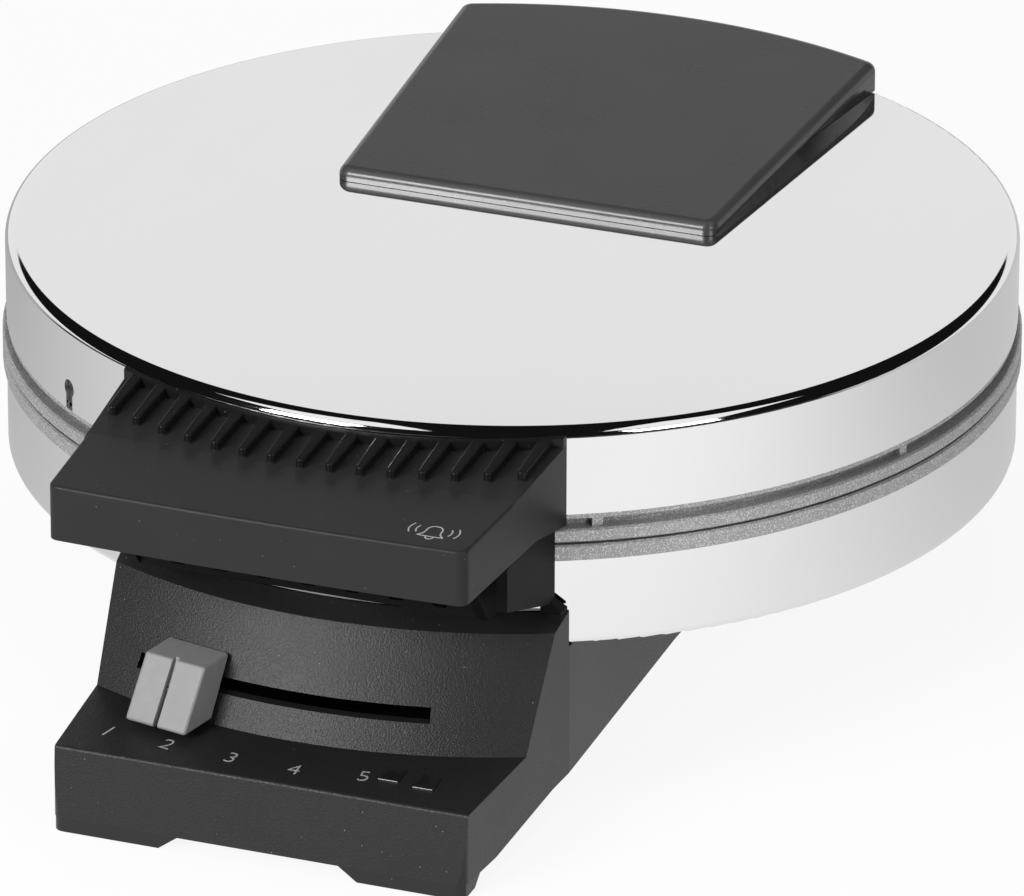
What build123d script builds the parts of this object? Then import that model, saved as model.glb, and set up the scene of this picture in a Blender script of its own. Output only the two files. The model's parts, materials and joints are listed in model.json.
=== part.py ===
from build123d import *
import math
import os

os.makedirs("parts", exist_ok=True)

# Everything is in millimetres. The part stands on z = 0 with its grip towards -Y.
# The two round bodies share one upright axis, which the places below are measured from.

# Round bodies
shell_radius = 115.2
shell_sheet = 0.8
top_rounding = 2.5
bottom_rounding = 2.0
lower_shell_bottom = 38.2
lower_shell_depth = 20.9
upper_shell_depth = 20.5

# Cast baking plates
flange_overhang = 0.9
flange_edge = 0.4
lower_flange = 3.9
upper_flange = 3.3
plate_gap = 0.5
groove_height = 2.1
groove_inset = 2.4
lip_height = 1.1
lip_inset = 0.2
plate_thickness = 11.0
gutter_depth = 2.5
gutter_rim = 4.4
gutter_inset = 12.2
post_width = 2.4
post_angles = (30.2, 69.8, 110.2, 149.8)

# Hearts in the baking faces
heart_count = 5
heart_lobe_radius = 19.5
heart_lobe_spread = 15.5
heart_lobe_reach = 57.0
heart_tip_reach = 9.0
heart_depth = 6.0
heart_draft = 10.0
hub_radius = 15.0
hub_depth = 3.0
stud_size = 6.6
stud_height = 3.2
stud_draft = 16.0
stud_pitch = 11.5

# Heating and control inside the round bodies
element_inset = 47.2
element_radius = 3.2
element_leg_spread = 12.0
clamp_count = 3
clamp_start = 30.0
clamp_length = 27.0
clamp_width = 9.0
clamp_sheet = 1.2
clamp_screw_radius = 1.6
clamp_screw_offset = 9.0
clamp_boss_radius = 3.6
reflector_sheet = 0.6
reflector_inset = 11.2
reflector_rise = 3.0
reflector_hole = 21.0
thermostat_radius = 14.0
fuse_radius = 2.2
fuse_length = 14.0
fuse_offset = 32.0
tie_bolt_radius = 2.0
tie_bolt_spread = 34.0
tie_rear_inset = 35.2
tie_front_inset = 27.2
tie_nut_radius = 4.0
tie_nut_height = 2.0
leg_stick = 6.0
seat_gap = 0.1
pass_clearance = 1.2

# Base housing
base_front_run = 41.3
base_front_taper = 4.1
base_half = 52.6
base_flare_inset = 12.7
base_rear_half = 33.0
base_taper_inset = 45.2
base_taper_run = 0.8
base_wall = 2.5
base_corner = 2.5
base_edge = 0.8
step_lean = 2.3
step_front_height = 19.7
step_rear_height = 21.6
step_rear_inset = 10.2
wall_foot_run = 19.3
wall_foot_height = 21.3
wall_top_run = 6.6
wall_top_rise = 6.3
ledge_rise = 8.7
arch_start_inset = 16.5
arch_mid_inset = 45.5
arch_mid_height = 6.8
arch_end = 35.0
arch_height = 9.7
shell_pocket_gap = 0.3
cover_sheet = 1.8
cover_gap = 0.2

# Feet
foot_height = 3.3
foot_width = 25.0
foot_depth = 7.0
foot_bevel = 4.5
foot_inset = 0.1
rear_foot_radius = 9.0
rear_foot_spread = 21.0
rear_foot_inset = 18.0

# Hinge
hinge_room = 12.9
hinge_rise = 0.2
pin_radius = 3.0
pin_bore_radius = 1.2
pin_fit = 0.03
barrel_fit = 0.06
ear_radius = 8.0
ear_thickness = 9.0
barrel_radius = 7.4
barrel_length = 43.0
barrel_side_gap = 0.5
bush_wall = 1.5
hinge_back = 17.0
tower_drop = 11.2
tower_gap = 1.2
stop_depth = 5.0
stop_rise = 1.8
yoke_thickness = 5.0
yoke_plate = 2.0
yoke_front_inset = 63.2
yoke_shell_gap = 1.8
clip_radius = 5.0
clip_sheet = 0.9
bush_length = 14.0
yoke_plate_half = 40.0
yoke_plate_length = 50.0

# Rear cover on the lid
cover_front_reach = 7.4
cover_front_half = 46.0
cover_rear_inset = 12.0
cover_rear_half = 51.8
cover_rear_bulge = 10.2
cover_waist_inset = 54.2
cover_corner = 3.0
cover_screw_hold = 3.2
cover_front_height = 3.2
cover_rear_height = 7.0
cover_shell = 1.5
cover_edge = 2.2
cover_tuck = 3.2
scoop_start = 0.4

# Grip on the lid
grip_taper = 3.4
grip_side_inset = 0.6
grip_bulge = 1.0
grip_corner = 2.5
grip_edge = 0.7
grip_front_run = 42.0
grip_front_drop = 7.1
grip_rear_drop = 5.3
grip_bottom_rise = 0.5
grip_corner_room = 0.6
grip_inner_run = 7.5
grip_rear_sink = 2.5
grip_bevel_run = 3.8
grip_wall = 2.4
grip_shell_gap = 0.3
rib_count = 15
rib_side_inset = 3.91
rib_run = 14.2
rib_tip_width = 2.0
rib_root_width = 3.0
rib_height = 3.1
rib_rise = 2.8
rib_depth = 2.4
rib_sink = 0.8
rib_back_wall = 1.5
rib_edge = 0.4

# Skirt under the grip
skirt_gap = 0.5
skirt_wall = 2.4
skirt_front_run = 19.4
skirt_side_rise = 13.1
skirt_side_rear_run = 6.2
skirt_side_rear_rise = 3.7
fin_inset = 7.8
fin_drop = 6.0
skirt_lip_run = 10.3
skirt_lip_rise = 5.8
skirt_rear_inset = 15.2
skirt_rear_rise = 1.0
floor_drop = 1.0
floor_sheet = 3.0
notch_count = 7
notch_pitch = 10.3
notch_width = 6.4
notch_side_angle = 120.0
notch_height = 3.0
notch_sill = 1.4
flare_width = 2.5
flare_height = 2.4
flare_edge = 0.6
flare_start_inset = 7.2
flare_end_inset = 11.6

# Slider
slot_left = -18.3
slot_right = 13.0
slot_height = 3.2
slot_rise = 6.7
knob_angle = -11.8
knob_width = 15.8
knob_foot_run = 11.5
knob_top_run = 2.8
knob_lift = 0.1
knob_height = 13.5
knob_wall_gap = 0.4
knob_groove_width = 1.2
knob_groove_depth = 0.8
knob_edge = 0.7
lever_thickness = 2.0
lever_width = 5.5
lever_hub_radius = 7.5
lever_run = 5.5
lever_fit = 0.1
spindle_radius = 3.0
spindle_fit = 0.05
spindle_engage = 8.0
spindle_drop = 4.3

# Control board and signal lamps
board_length = 74.0
board_depth = 20.0
board_sheet = 1.6
board_inset = 14.5
board_rise = 5.2
board_post_spread = 30.0
board_post_radius = 2.5
buzzer_radius = 6.0
buzzer_height = 5.5
buzzer_x = -20.0
lamp_insets = ((26.4, 14.3), (34.9, 13.3))
lens_width = 4.6
lens_depth = 6.4
lens_fit = 0.1
lens_stand = 0.3
lens_length = 4.0
lamp_radius = 1.8

# Wiring
terminal_length = 30.0
terminal_depth = 14.0
terminal_height = 10.0
terminal_inset = 23.2
lead_radius = 1.1
gland_radius = 6.5
gland_bore = 3.4
gland_rise = 14.3
gland_sink = 0.5
lead_drop = 7.0
lead_bend = 3.0
upper_leg_rise = 0.8
upper_lead_rise = 2.5
upper_lead_depth = 2.3
upper_lead_bend = 2.0

# Screws
screw_radius = 1.7
screw_head_radius = 3.2
screw_head_height = 1.8
base_screw_insets = (10.6, 8.6, 7.0)
base_screw_front = 25.2
base_screw_middle = 20.0
base_screw_rear = 9.2
screw_length = 9.0
slope_room = 0.4
base_boss_radius = 4.2
grip_screw_spread = 26.0
grip_screw_inset = 15.2
cover_screw_spread = 30.0
cover_screw_inset = 25.2
bracket_sheet = 1.5
bracket_half = 34.0
bracket_front_inset = 7.2
bracket_tab_run = 3.0
bracket_tab_half = 21.0
bracket_tab_drop = 1.6
bracket_bolt_spread = 14.0
bracket_bolt_drop = 12.0
bracket_bolt_inset = 5.7
bracket_nut_inset = 2.3
grip_screw_hold = 5.0
keyhole_angle = -38.2
keyhole_radius = 2.1
keyhole_slot = 2.8
keyhole_rise = 7.3
clip_turn = 3.5
clip_height = 8.0

# Heights that follow from the stack of pieces
lower_flange_bottom = lower_shell_bottom + lower_shell_depth
lower_face = lower_flange_bottom + lower_flange
upper_face = lower_face + plate_gap
upper_flange_top = upper_face + upper_flange
upper_rim = upper_flange_top + groove_height + lip_height
shell_top = upper_rim + upper_shell_depth
wall_top_height = lower_shell_bottom + wall_top_rise
ledge_height = lower_shell_bottom + ledge_rise
hinge_height = lower_face + hinge_rise
tower_top = hinge_height - tower_drop
stop_height = hinge_height + stop_rise
slot_middle = step_rear_height + slot_rise
spindle_foot = slot_middle - spindle_drop
knob_foot_height = step_rear_height + knob_lift
knob_top_height = knob_foot_height + knob_height
board_height = foot_height + board_rise
gland_height = arch_height + gland_rise
keyhole_top = upper_rim + keyhole_rise
grip_top_front = shell_top - grip_front_drop
grip_top_rear = shell_top - grip_rear_drop
grip_bottom = upper_rim + grip_bottom_rise
grip_rear_bottom = upper_rim - grip_rear_sink
rib_foot = grip_top_front - rib_sink
rib_tip_top = grip_top_front + rib_height
rib_root_top = rib_tip_top + rib_rise
fin_height = upper_rim - fin_drop
skirt_side_height = ledge_height + skirt_side_rise
skirt_side_rear_height = ledge_height + skirt_side_rear_rise
skirt_lip_height = ledge_height + skirt_lip_rise
skirt_rear_height = ledge_height + skirt_rear_rise
floor_under = grip_bottom - floor_drop
floor_top = floor_under + floor_sheet
bracket_foot = floor_top + seat_gap
bracket_tab_top = grip_top_front - bracket_tab_drop
bracket_bolt_height = shell_top - bracket_bolt_drop

# Half widths that follow from the base's own
base_front_half = base_half - base_front_taper
grip_rear_half = base_half - grip_side_inset
grip_front_half = grip_rear_half - grip_taper
skirt_half = base_half - flare_width
fin_half = skirt_half - fin_inset
rib_pitch = (grip_rear_half - rib_side_inset) / (rib_count // 2)

# Radii and reaches that follow from the round bodies
flange_radius = shell_radius + flange_overhang
groove_radius = shell_radius - groove_inset
lip_radius = shell_radius - lip_inset
gutter_inner = math.hypot(heart_lobe_spread, heart_lobe_reach) + heart_lobe_radius + gutter_rim
gutter_outer = shell_radius - gutter_inset
body_radius = shell_radius - shell_sheet - 1.0
pocket_radius = shell_radius + shell_pocket_gap
tower_radius = flange_radius + tower_gap
skirt_radius = flange_radius + skirt_gap
grip_radius = shell_radius + grip_shell_gap
element_ring = shell_radius - element_inset
reflector_radius = shell_radius - reflector_inset
tie_bolt_reach = shell_radius - tie_rear_inset
tie_bolt_front = shell_radius - tie_front_inset
base_front = shell_radius + base_front_run
base_flare_end = shell_radius - base_flare_inset
base_taper_start = shell_radius - base_taper_inset
base_taper_end = shell_radius + base_taper_run
step_front = base_front - step_lean
step_rear = shell_radius - step_rear_inset
wall_foot_radius = shell_radius + wall_foot_run
wall_top_radius = shell_radius + wall_top_run
arch_start = base_front - arch_start_inset
arch_mid = base_front - arch_mid_inset
hinge_reach = flange_radius + hinge_room
rear_reach = hinge_reach + hinge_back
rear_foot_reach = rear_reach - rear_foot_inset
yoke_front = shell_radius - yoke_front_inset
cover_rear_reach = shell_radius - cover_rear_inset
cover_waist_reach = shell_radius - cover_waist_inset
cover_screw_reach = shell_radius - cover_screw_inset
front_reach = shell_radius + grip_front_run
grip_rear_reach = math.sqrt(grip_radius**2 - grip_rear_half**2) - grip_corner_room
grip_inner_reach = grip_rear_reach - grip_inner_run
grip_bevel_start = shell_radius + grip_bevel_run
grip_screw_reach = front_reach - grip_screw_inset
rib_tip_radius = grip_radius + rib_run
skirt_front = shell_radius + skirt_front_run
skirt_lip_reach = shell_radius + skirt_lip_run
skirt_side_rear = shell_radius - skirt_side_rear_run
skirt_rear_reach = shell_radius - skirt_rear_inset
flare_start = shell_radius - flare_start_inset
flare_end = shell_radius - flare_end_inset
knob_foot_reach = wall_foot_radius + knob_foot_run
knob_top_reach = wall_foot_radius + knob_top_run
lever_reach = wall_foot_radius + lever_run
board_reach = base_front - board_inset
terminal_reach = shell_radius - terminal_inset
bracket_front = front_reach - bracket_front_inset
bracket_tab_reach = shell_radius + bracket_tab_run
bracket_bolt_end = shell_radius - bracket_bolt_inset
bracket_nut_reach = shell_radius - bracket_nut_inset

# The middle of the part, front to back, stands over the origin
axis_y = (front_reach - rear_reach) / 2

base_screw_places = (
    (base_half - base_screw_insets[0], base_screw_front - shell_radius),
    (base_half - base_screw_insets[1], base_screw_middle),
    (base_rear_half - base_screw_insets[2], shell_radius - base_screw_rear),
)
lamp_places = tuple((x, base_front - inset) for x, inset in lamp_insets)

upper_far_side = upper_face + plate_thickness
upper_leg_top = upper_far_side + 2 * element_radius + upper_leg_rise
upper_lead_height = upper_leg_top + upper_lead_rise
leg_reach = math.sqrt(element_ring**2 - element_leg_spread**2)
leg_places = ((element_leg_spread, leg_reach), (-element_leg_spread, leg_reach))
tie_places = (
    (tie_bolt_spread, tie_bolt_reach), (-tie_bolt_spread, tie_bolt_reach), (0, -tie_bolt_front),
)
cover_screw_places = (
    (cover_screw_spread, cover_screw_reach), (-cover_screw_spread, cover_screw_reach),
)
clamp_screw_places = tuple(
    (reach * math.cos(math.radians(turn)), reach * math.sin(math.radians(turn)))
    for turn in (clamp_start + 360 * count / clamp_count for count in range(clamp_count))
    for reach in (element_ring - clamp_screw_offset, element_ring + clamp_screw_offset)
)

axis = Axis((0, axis_y, 0), (0, 0, 1))


def level(height):
    """Level plane at a height, centred on the round bodies' axis."""
    return Plane((0, axis_y, height))


def facing(height, up):
    """Level plane that looks up or down; its own y is +Y both ways."""
    hand = 1 if up else -1
    return Plane((0, axis_y, height), x_dir=(hand, 0, 0), z_dir=(0, 0, hand))


def radial(degrees):
    """Upright plane through the axis: its x runs outwards at this angle from +X."""
    turn = math.radians(degrees)
    out = (math.cos(turn), math.sin(turn), 0)
    return Plane((0, axis_y, 0), x_dir=out, z_dir=(out[1], -out[0], 0))


def across(x):
    """Plane square to X at this place, with +Y and +Z as its own x and y."""
    return Plane((x, axis_y, 0), x_dir=(0, 1, 0), z_dir=(1, 0, 0))


def outward(degrees):
    """Upright plane at the axis that looks outwards, at this angle from the front."""
    turn = math.radians(degrees - 90)
    out = (math.cos(turn), math.sin(turn), 0)
    return Plane((0, axis_y, 0), x_dir=(-out[1], out[0], 0), z_dir=out)


def save(builder, name):
    """Label a finished piece and write its file."""
    builder.part.label = name
    export_step(builder.part, f"parts/{name}.step")


# Upper shell: a pressed cup of chromed sheet, open downwards
with BuildPart() as upper_shell:
    with BuildSketch(level(upper_rim)):
        Circle(shell_radius)
    extrude(amount=upper_shell_depth)
    fillet(upper_shell.edges().group_by(Axis.Z)[-1], top_rounding)
    offset(amount=-shell_sheet, openings=upper_shell.faces().sort_by(Axis.Z)[0])
    # keyhole in the side, where a spring clip is reached
    with BuildSketch(outward(keyhole_angle)):
        with Locations((0, keyhole_top - keyhole_radius)):
            Circle(keyhole_radius)
        with Locations((0, (keyhole_top - keyhole_radius + upper_rim) / 2)):
            Rectangle(keyhole_slot, keyhole_top - keyhole_radius - upper_rim + 1)
    extrude(amount=shell_radius + 1, mode=Mode.SUBTRACT)
    # holes in front for the grip bracket's bolts
    with BuildSketch(outward(0)):
        with Locations((bracket_bolt_spread, bracket_bolt_height),
                       (-bracket_bolt_spread, bracket_bolt_height)):
            Circle(screw_radius + seat_gap)
    extrude(amount=shell_radius + 1, mode=Mode.SUBTRACT)
    # holes in the back wall for the heater's leads
    with BuildSketch(outward(180)):
        with Locations(*[(x, upper_lead_height) for x, y in leg_places]):
            Circle(lead_radius + pass_clearance / 4)
    extrude(amount=shell_radius + 1, mode=Mode.SUBTRACT)
    # holes for bolts and screws, all under the rear cover
    with BuildSketch(level(shell_top)):
        with Locations(*tie_places[:2]):
            Circle(tie_bolt_radius + pass_clearance / 4)
        with Locations(*cover_screw_places):
            Circle(screw_radius + pass_clearance / 4)
    extrude(amount=-2 * shell_sheet, mode=Mode.SUBTRACT)
save(upper_shell, "upper_shell")

# Lower shell: the matching cup, open upwards
with BuildPart() as lower_shell:
    with BuildSketch(level(lower_shell_bottom)):
        Circle(shell_radius)
    extrude(amount=lower_shell_depth - seat_gap)
    fillet(lower_shell.edges().group_by(Axis.Z)[0], bottom_rounding)
    offset(amount=-shell_sheet, openings=lower_shell.faces().sort_by(Axis.Z)[-1])
    with BuildSketch(level(lower_shell_bottom)):
        Circle(spindle_radius + pass_clearance)
        with Locations(*leg_places):
            Circle(element_radius + pass_clearance)
        with Locations(*tie_places):
            Circle(tie_bolt_radius + pass_clearance / 4)
    extrude(amount=2 * shell_sheet, mode=Mode.SUBTRACT)
save(lower_shell, "lower_shell")

# One heart of the baking face, its tip at the axis and its lobes along +Y
tip_turn = math.atan2(heart_lobe_spread, heart_lobe_reach - heart_tip_reach)
tip_distance = math.hypot(heart_lobe_spread, heart_lobe_reach - heart_tip_reach)
side_turn = tip_turn + math.asin(heart_lobe_radius / tip_distance)
side_length = math.sqrt(tip_distance**2 - heart_lobe_radius**2)
side_x = side_length * math.sin(side_turn)
side_y = heart_tip_reach + side_length * math.cos(side_turn)
with BuildSketch() as heart:
    with Locations((heart_lobe_spread, heart_lobe_reach), (-heart_lobe_spread, heart_lobe_reach)):
        Circle(heart_lobe_radius)
    with BuildLine():
        Polyline(
            (0, heart_tip_reach), (side_x, side_y), (heart_lobe_spread, heart_lobe_reach),
            (-heart_lobe_spread, heart_lobe_reach), (-side_x, side_y), close=True,
        )
    make_face()

# Rows of studs in a heart: how far out each row lies, in pitches, and its places in pitches
stud_rows = (
    (0, (0,)),
    (1, (-1, 0, 1)),
    (2, (-2, -1, 0, 1, 2)),
    (3, (-2, -1, 1, 2)),
    (4, (-1.5, 1.5)),
)
first_row = heart_tip_reach + 1.3 * stud_pitch


def baking_plate(face, up, edge_profile, post_turns):
    """Cast plate with its baking face at this height and its body above or below it."""
    grow = 1 if up else -1
    far_side = face + grow * plate_thickness
    boss_top = far_side + grow * (2 * element_radius + seat_gap)
    with BuildPart() as plate:
        with BuildSketch(radial(0)):
            with BuildLine():
                Polyline(
                    (0, face), (gutter_inner, face),
                    (gutter_inner + 2, face + grow * gutter_depth),
                    (gutter_outer - 3, face + grow * gutter_depth),
                    (gutter_outer, face), *edge_profile,
                    (body_radius - 8, far_side), (0, far_side), close=True,
                )
            make_face()
        revolve(axis=axis)
        # hearts, joined at a shallow hub
        with BuildSketch(facing(face, up)):
            with PolarLocations(0, heart_count, start_angle=0):
                add(heart.sketch)
        extrude(amount=heart_depth, taper=heart_draft, mode=Mode.SUBTRACT)
        with BuildSketch(facing(face, up)):
            Circle(hub_radius)
        extrude(amount=hub_depth, mode=Mode.SUBTRACT)
        # studs stand on the hearts' floors
        with BuildSketch(facing(face + grow * heart_depth, not up)):
            with PolarLocations(0, heart_count, start_angle=0):
                with Locations(*[(place * stud_pitch, first_row + row * stud_pitch)
                                 for row, places in stud_rows for place in places]):
                    Rectangle(stud_size, stud_size)
        extrude(amount=stud_height, taper=stud_draft)
        # bosses for the element's clamps, with blind screw holes
        with BuildSketch(facing(far_side, up)):
            with Locations(*clamp_screw_places):
                Circle(clamp_boss_radius)
        extrude(amount=grow * (boss_top - far_side))
        with BuildSketch(facing(boss_top, up)):
            with Locations(*clamp_screw_places):
                Circle(clamp_screw_radius + seat_gap)
        extrude(amount=-2 * element_radius, mode=Mode.SUBTRACT)
        # small posts in the groove round the outside
        for turn in post_turns:
            with BuildSketch(Plane(radial(turn - 90).origin + Vector(0, 0, upper_flange_top),
                                   x_dir=radial(turn - 90).x_dir, z_dir=(0, 0, 1))):
                with Locations((lip_radius - 2, 0)):
                    Rectangle(4, post_width)
            extrude(amount=groove_height)
    return plate


# Lower baking plate: its flange rests on the lower shell's edge
lower_baking_plate = baking_plate(lower_face, False, (
    (flange_radius - flange_edge, lower_face),
    (flange_radius, lower_face - flange_edge),
    (flange_radius, lower_flange_bottom + flange_edge),
    (flange_radius - flange_edge, lower_flange_bottom),
    (body_radius, lower_flange_bottom),
    (body_radius, lower_flange_bottom - 2),
), ())
save(lower_baking_plate, "lower_baking_plate")

# Upper baking plate: above its flange are a groove and a thin lip that carries the shell
upper_baking_plate = baking_plate(upper_face, True, (
    (flange_radius - flange_edge, upper_face),
    (flange_radius, upper_face + flange_edge),
    (flange_radius, upper_flange_top - flange_edge),
    (flange_radius - flange_edge, upper_flange_top),
    (groove_radius, upper_flange_top),
    (groove_radius, upper_flange_top + groove_height),
    (lip_radius, upper_flange_top + groove_height),
    (lip_radius, upper_rim - seat_gap),
    (body_radius, upper_rim - seat_gap),
    (body_radius, upper_rim + 1),
), tuple(hand * turn for turn in post_angles for hand in (1, -1)))
save(upper_baking_plate, "upper_baking_plate")


def heater(far_side, up, sheet_face, leg_end):
    """Element ring, its clamps with their screws, and the reflector on the shell's sheet."""
    grow = 1 if up else -1
    ring = far_side + grow * (element_radius + seat_gap)
    clamp_face = far_side + grow * 2 * (element_radius + seat_gap)
    with BuildPart() as element:
        gap_turn = math.degrees(math.asin(element_leg_spread / element_ring))
        with BuildSketch(radial(90 + gap_turn)):
            with Locations((element_ring, ring)):
                Circle(element_radius)
        revolve(axis=axis, revolution_arc=360 - 2 * gap_turn)
        with BuildSketch(facing(ring, up)):
            with Locations(*leg_places):
                Circle(element_radius - 0.4)
        extrude(amount=grow * (leg_end - ring))
        with Locations(*[(x, axis_y + y, ring) for x, y in leg_places]):
            Sphere(element_radius)
    with BuildPart() as clamps:
        with BuildSketch(facing(clamp_face, up)):
            with PolarLocations(element_ring, clamp_count, start_angle=clamp_start):
                SlotOverall(clamp_length, clamp_width)
            with Locations(*clamp_screw_places):
                Circle(clamp_screw_radius + seat_gap, mode=Mode.SUBTRACT)
        extrude(amount=clamp_sheet)
    with BuildPart() as screws:
        with BuildSketch(facing(clamp_face + grow * clamp_sheet, up)):
            with Locations(*clamp_screw_places):
                Circle(screw_head_radius)
        extrude(amount=screw_head_height)
        with BuildSketch(facing(clamp_face + grow * clamp_sheet, up)):
            with Locations(*clamp_screw_places):
                Circle(clamp_screw_radius)
        extrude(amount=-(clamp_sheet + element_radius))
    with BuildPart() as reflector:
        seat = sheet_face - grow * seat_gap
        with BuildSketch(radial(0)):
            with BuildLine():
                Polyline(
                    (reflector_hole, seat), (reflector_radius - 4, seat),
                    (reflector_radius, seat - grow * reflector_rise),
                    (reflector_radius - reflector_sheet, seat - grow * reflector_rise),
                    (reflector_radius - 4 - reflector_sheet / 2, seat - grow * reflector_sheet),
                    (reflector_hole, seat - grow * reflector_sheet), close=True,
                )
            make_face()
        revolve(axis=axis)
        with BuildSketch(level(seat)):
            with Locations(*tie_places):
                Circle(tie_bolt_radius + pass_clearance / 2)
            if up:
                with Locations(*cover_screw_places):
                    Circle(screw_head_radius + pass_clearance / 2)
            else:
                with Locations(*leg_places):
                    Circle(element_radius + pass_clearance)
        extrude(amount=2 * reflector_sheet, both=True, mode=Mode.SUBTRACT)
    return element, clamps, screws, reflector


lower_far_side = lower_face - plate_thickness
lower_sheet_face = lower_shell_bottom + shell_sheet
upper_sheet_face = shell_top - shell_sheet

heater_names = ("heating_element", "element_clamps", "clamp_screws", "reflector")
lower_heater = heater(lower_far_side, False, lower_sheet_face, lower_shell_bottom - leg_stick)
for builder, name in zip(lower_heater, heater_names):
    save(builder, f"lower_{name}")

upper_heater = heater(upper_far_side, True, upper_sheet_face, upper_leg_top)
for builder, name in zip(upper_heater, heater_names):
    save(builder, f"upper_{name}")

# Thermostat under the middle of the lower plate, with a blind bore for its spindle
thermostat_foot = lower_sheet_face + pass_clearance
with BuildPart() as thermostat:
    with BuildSketch(level(thermostat_foot)):
        Circle(thermostat_radius)
    extrude(amount=lower_far_side - seat_gap - thermostat_foot)
    fillet(thermostat.edges().group_by(Axis.Z)[0], shell_sheet)
    with BuildSketch(level(thermostat_foot)):
        Circle(spindle_radius + spindle_fit)
    extrude(amount=spindle_engage, mode=Mode.SUBTRACT)
save(thermostat, "thermostat")

# Thermal fuse, a small tube that lies against the lower plate
with BuildPart() as thermal_fuse:
    with BuildSketch(across(-fuse_length / 2)):
        with Locations((fuse_offset, lower_far_side - fuse_radius - seat_gap)):
            Circle(fuse_radius)
    extrude(amount=fuse_length)
save(thermal_fuse, "thermal_fuse")


def tie_bolts(plate_side, end, places, up):
    """Bolts from the plate's body out through the sheet, each with its nut at the end."""
    with BuildPart() as bolts:
        with BuildSketch(facing(plate_side, up)):
            with Locations(*places):
                Circle(tie_bolt_radius)
        extrude(amount=abs(end - plate_side))
        with BuildSketch(facing(end, not up)):
            with Locations(*places):
                RegularPolygon(tie_nut_radius, 6)
        extrude(amount=tie_nut_height)
    return bolts


# Base housing: the whole black foot, its front step and curved wall, and the hinge tower
body_top = lower_shell_bottom - seat_gap


def wall_radius(height):
    """Radius of the curved front wall, which is part of a cone about the axis."""
    share = (height - wall_foot_height) / (wall_top_height - wall_foot_height)
    return wall_foot_radius + share * (wall_top_radius - wall_foot_radius)


def base_plan(inset):
    """Corner points of the base seen from above, moved inwards by the inset."""
    right = (
        (base_front_half - inset, -base_front + inset),
        (base_half - inset, -base_flare_end),
        (base_half - inset, base_taper_start),
        (base_rear_half - inset, base_taper_end),
        (base_rear_half - inset, rear_reach - inset),
    )
    return right + tuple((-x, y) for x, y in reversed(right))


def wall_block(inset, wall_top, rim_top):
    """What stands up behind the curved wall, with its top edge and the ledge behind it."""
    with BuildPart() as block:
        with BuildSketch(level(arch_height)):
            with Locations((0, -base_flare_end)):
                Rectangle(2 * base_half, base_flare_end)
        extrude(amount=rim_top)
        with BuildSketch(radial(0)):
            with BuildLine():
                Polyline(
                    (0, arch_height), (wall_radius(arch_height) - inset, arch_height),
                    (wall_radius(wall_top) - inset, wall_top), (pocket_radius, rim_top),
                    (0, rim_top), close=True,
                )
            make_face()
        revolve(axis=axis, mode=Mode.INTERSECT)
    return block.part


def base_form(inset, underside, wall_top, rim_top):
    """The base as a solid form, moved inwards by the inset, over these underside points."""
    block = wall_block(inset, wall_top, rim_top)
    with BuildPart() as form:
        with BuildSketch(across(-base_half)):
            with BuildLine():
                Polyline(
                    *underside, (rear_reach - inset, body_top - inset),
                    (-step_rear, body_top - inset), (-step_rear, step_rear_height - inset),
                    (-step_front + inset, step_front_height - inset), close=True,
                )
            make_face()
        extrude(amount=2 * base_half)
        add(block)
        with BuildSketch(level(-rear_reach)):
            with BuildLine():
                Polyline(*base_plan(inset), close=True)
            make_face()
            front_corners = base_corner - inset if inset < base_corner else base_edge
            fillet(vertices().group_by(Axis.Y)[0], front_corners)
        extrude(amount=2 * rear_reach, mode=Mode.INTERSECT)
    return form.part


underside = (
    (-base_front, foot_height), (-arch_start, foot_height), (-arch_mid, arch_mid_height),
    (-arch_end, arch_height), (rear_reach, arch_height),
)


def underside_height(y):
    """Height of the base's underside at a place along Y."""
    for (y0, z0), (y1, z1) in zip(underside, underside[1:]):
        if y0 <= y <= y1:
            return z0 + (z1 - z0) * (y - y0) / (y1 - y0)
    return arch_height


cavity_floor = (
    (-base_front + base_wall, foot_height + 2 * cover_sheet), (-base_front + base_wall, -1),
    (rear_reach - base_wall, -1),
)
base_outside = base_form(0, underside, wall_top_height, ledge_height)
base_inside = base_form(base_wall, cavity_floor, body_top - base_wall, body_top - base_wall)
slot_turns = (slot_left - 90, slot_right - slot_left)

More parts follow.
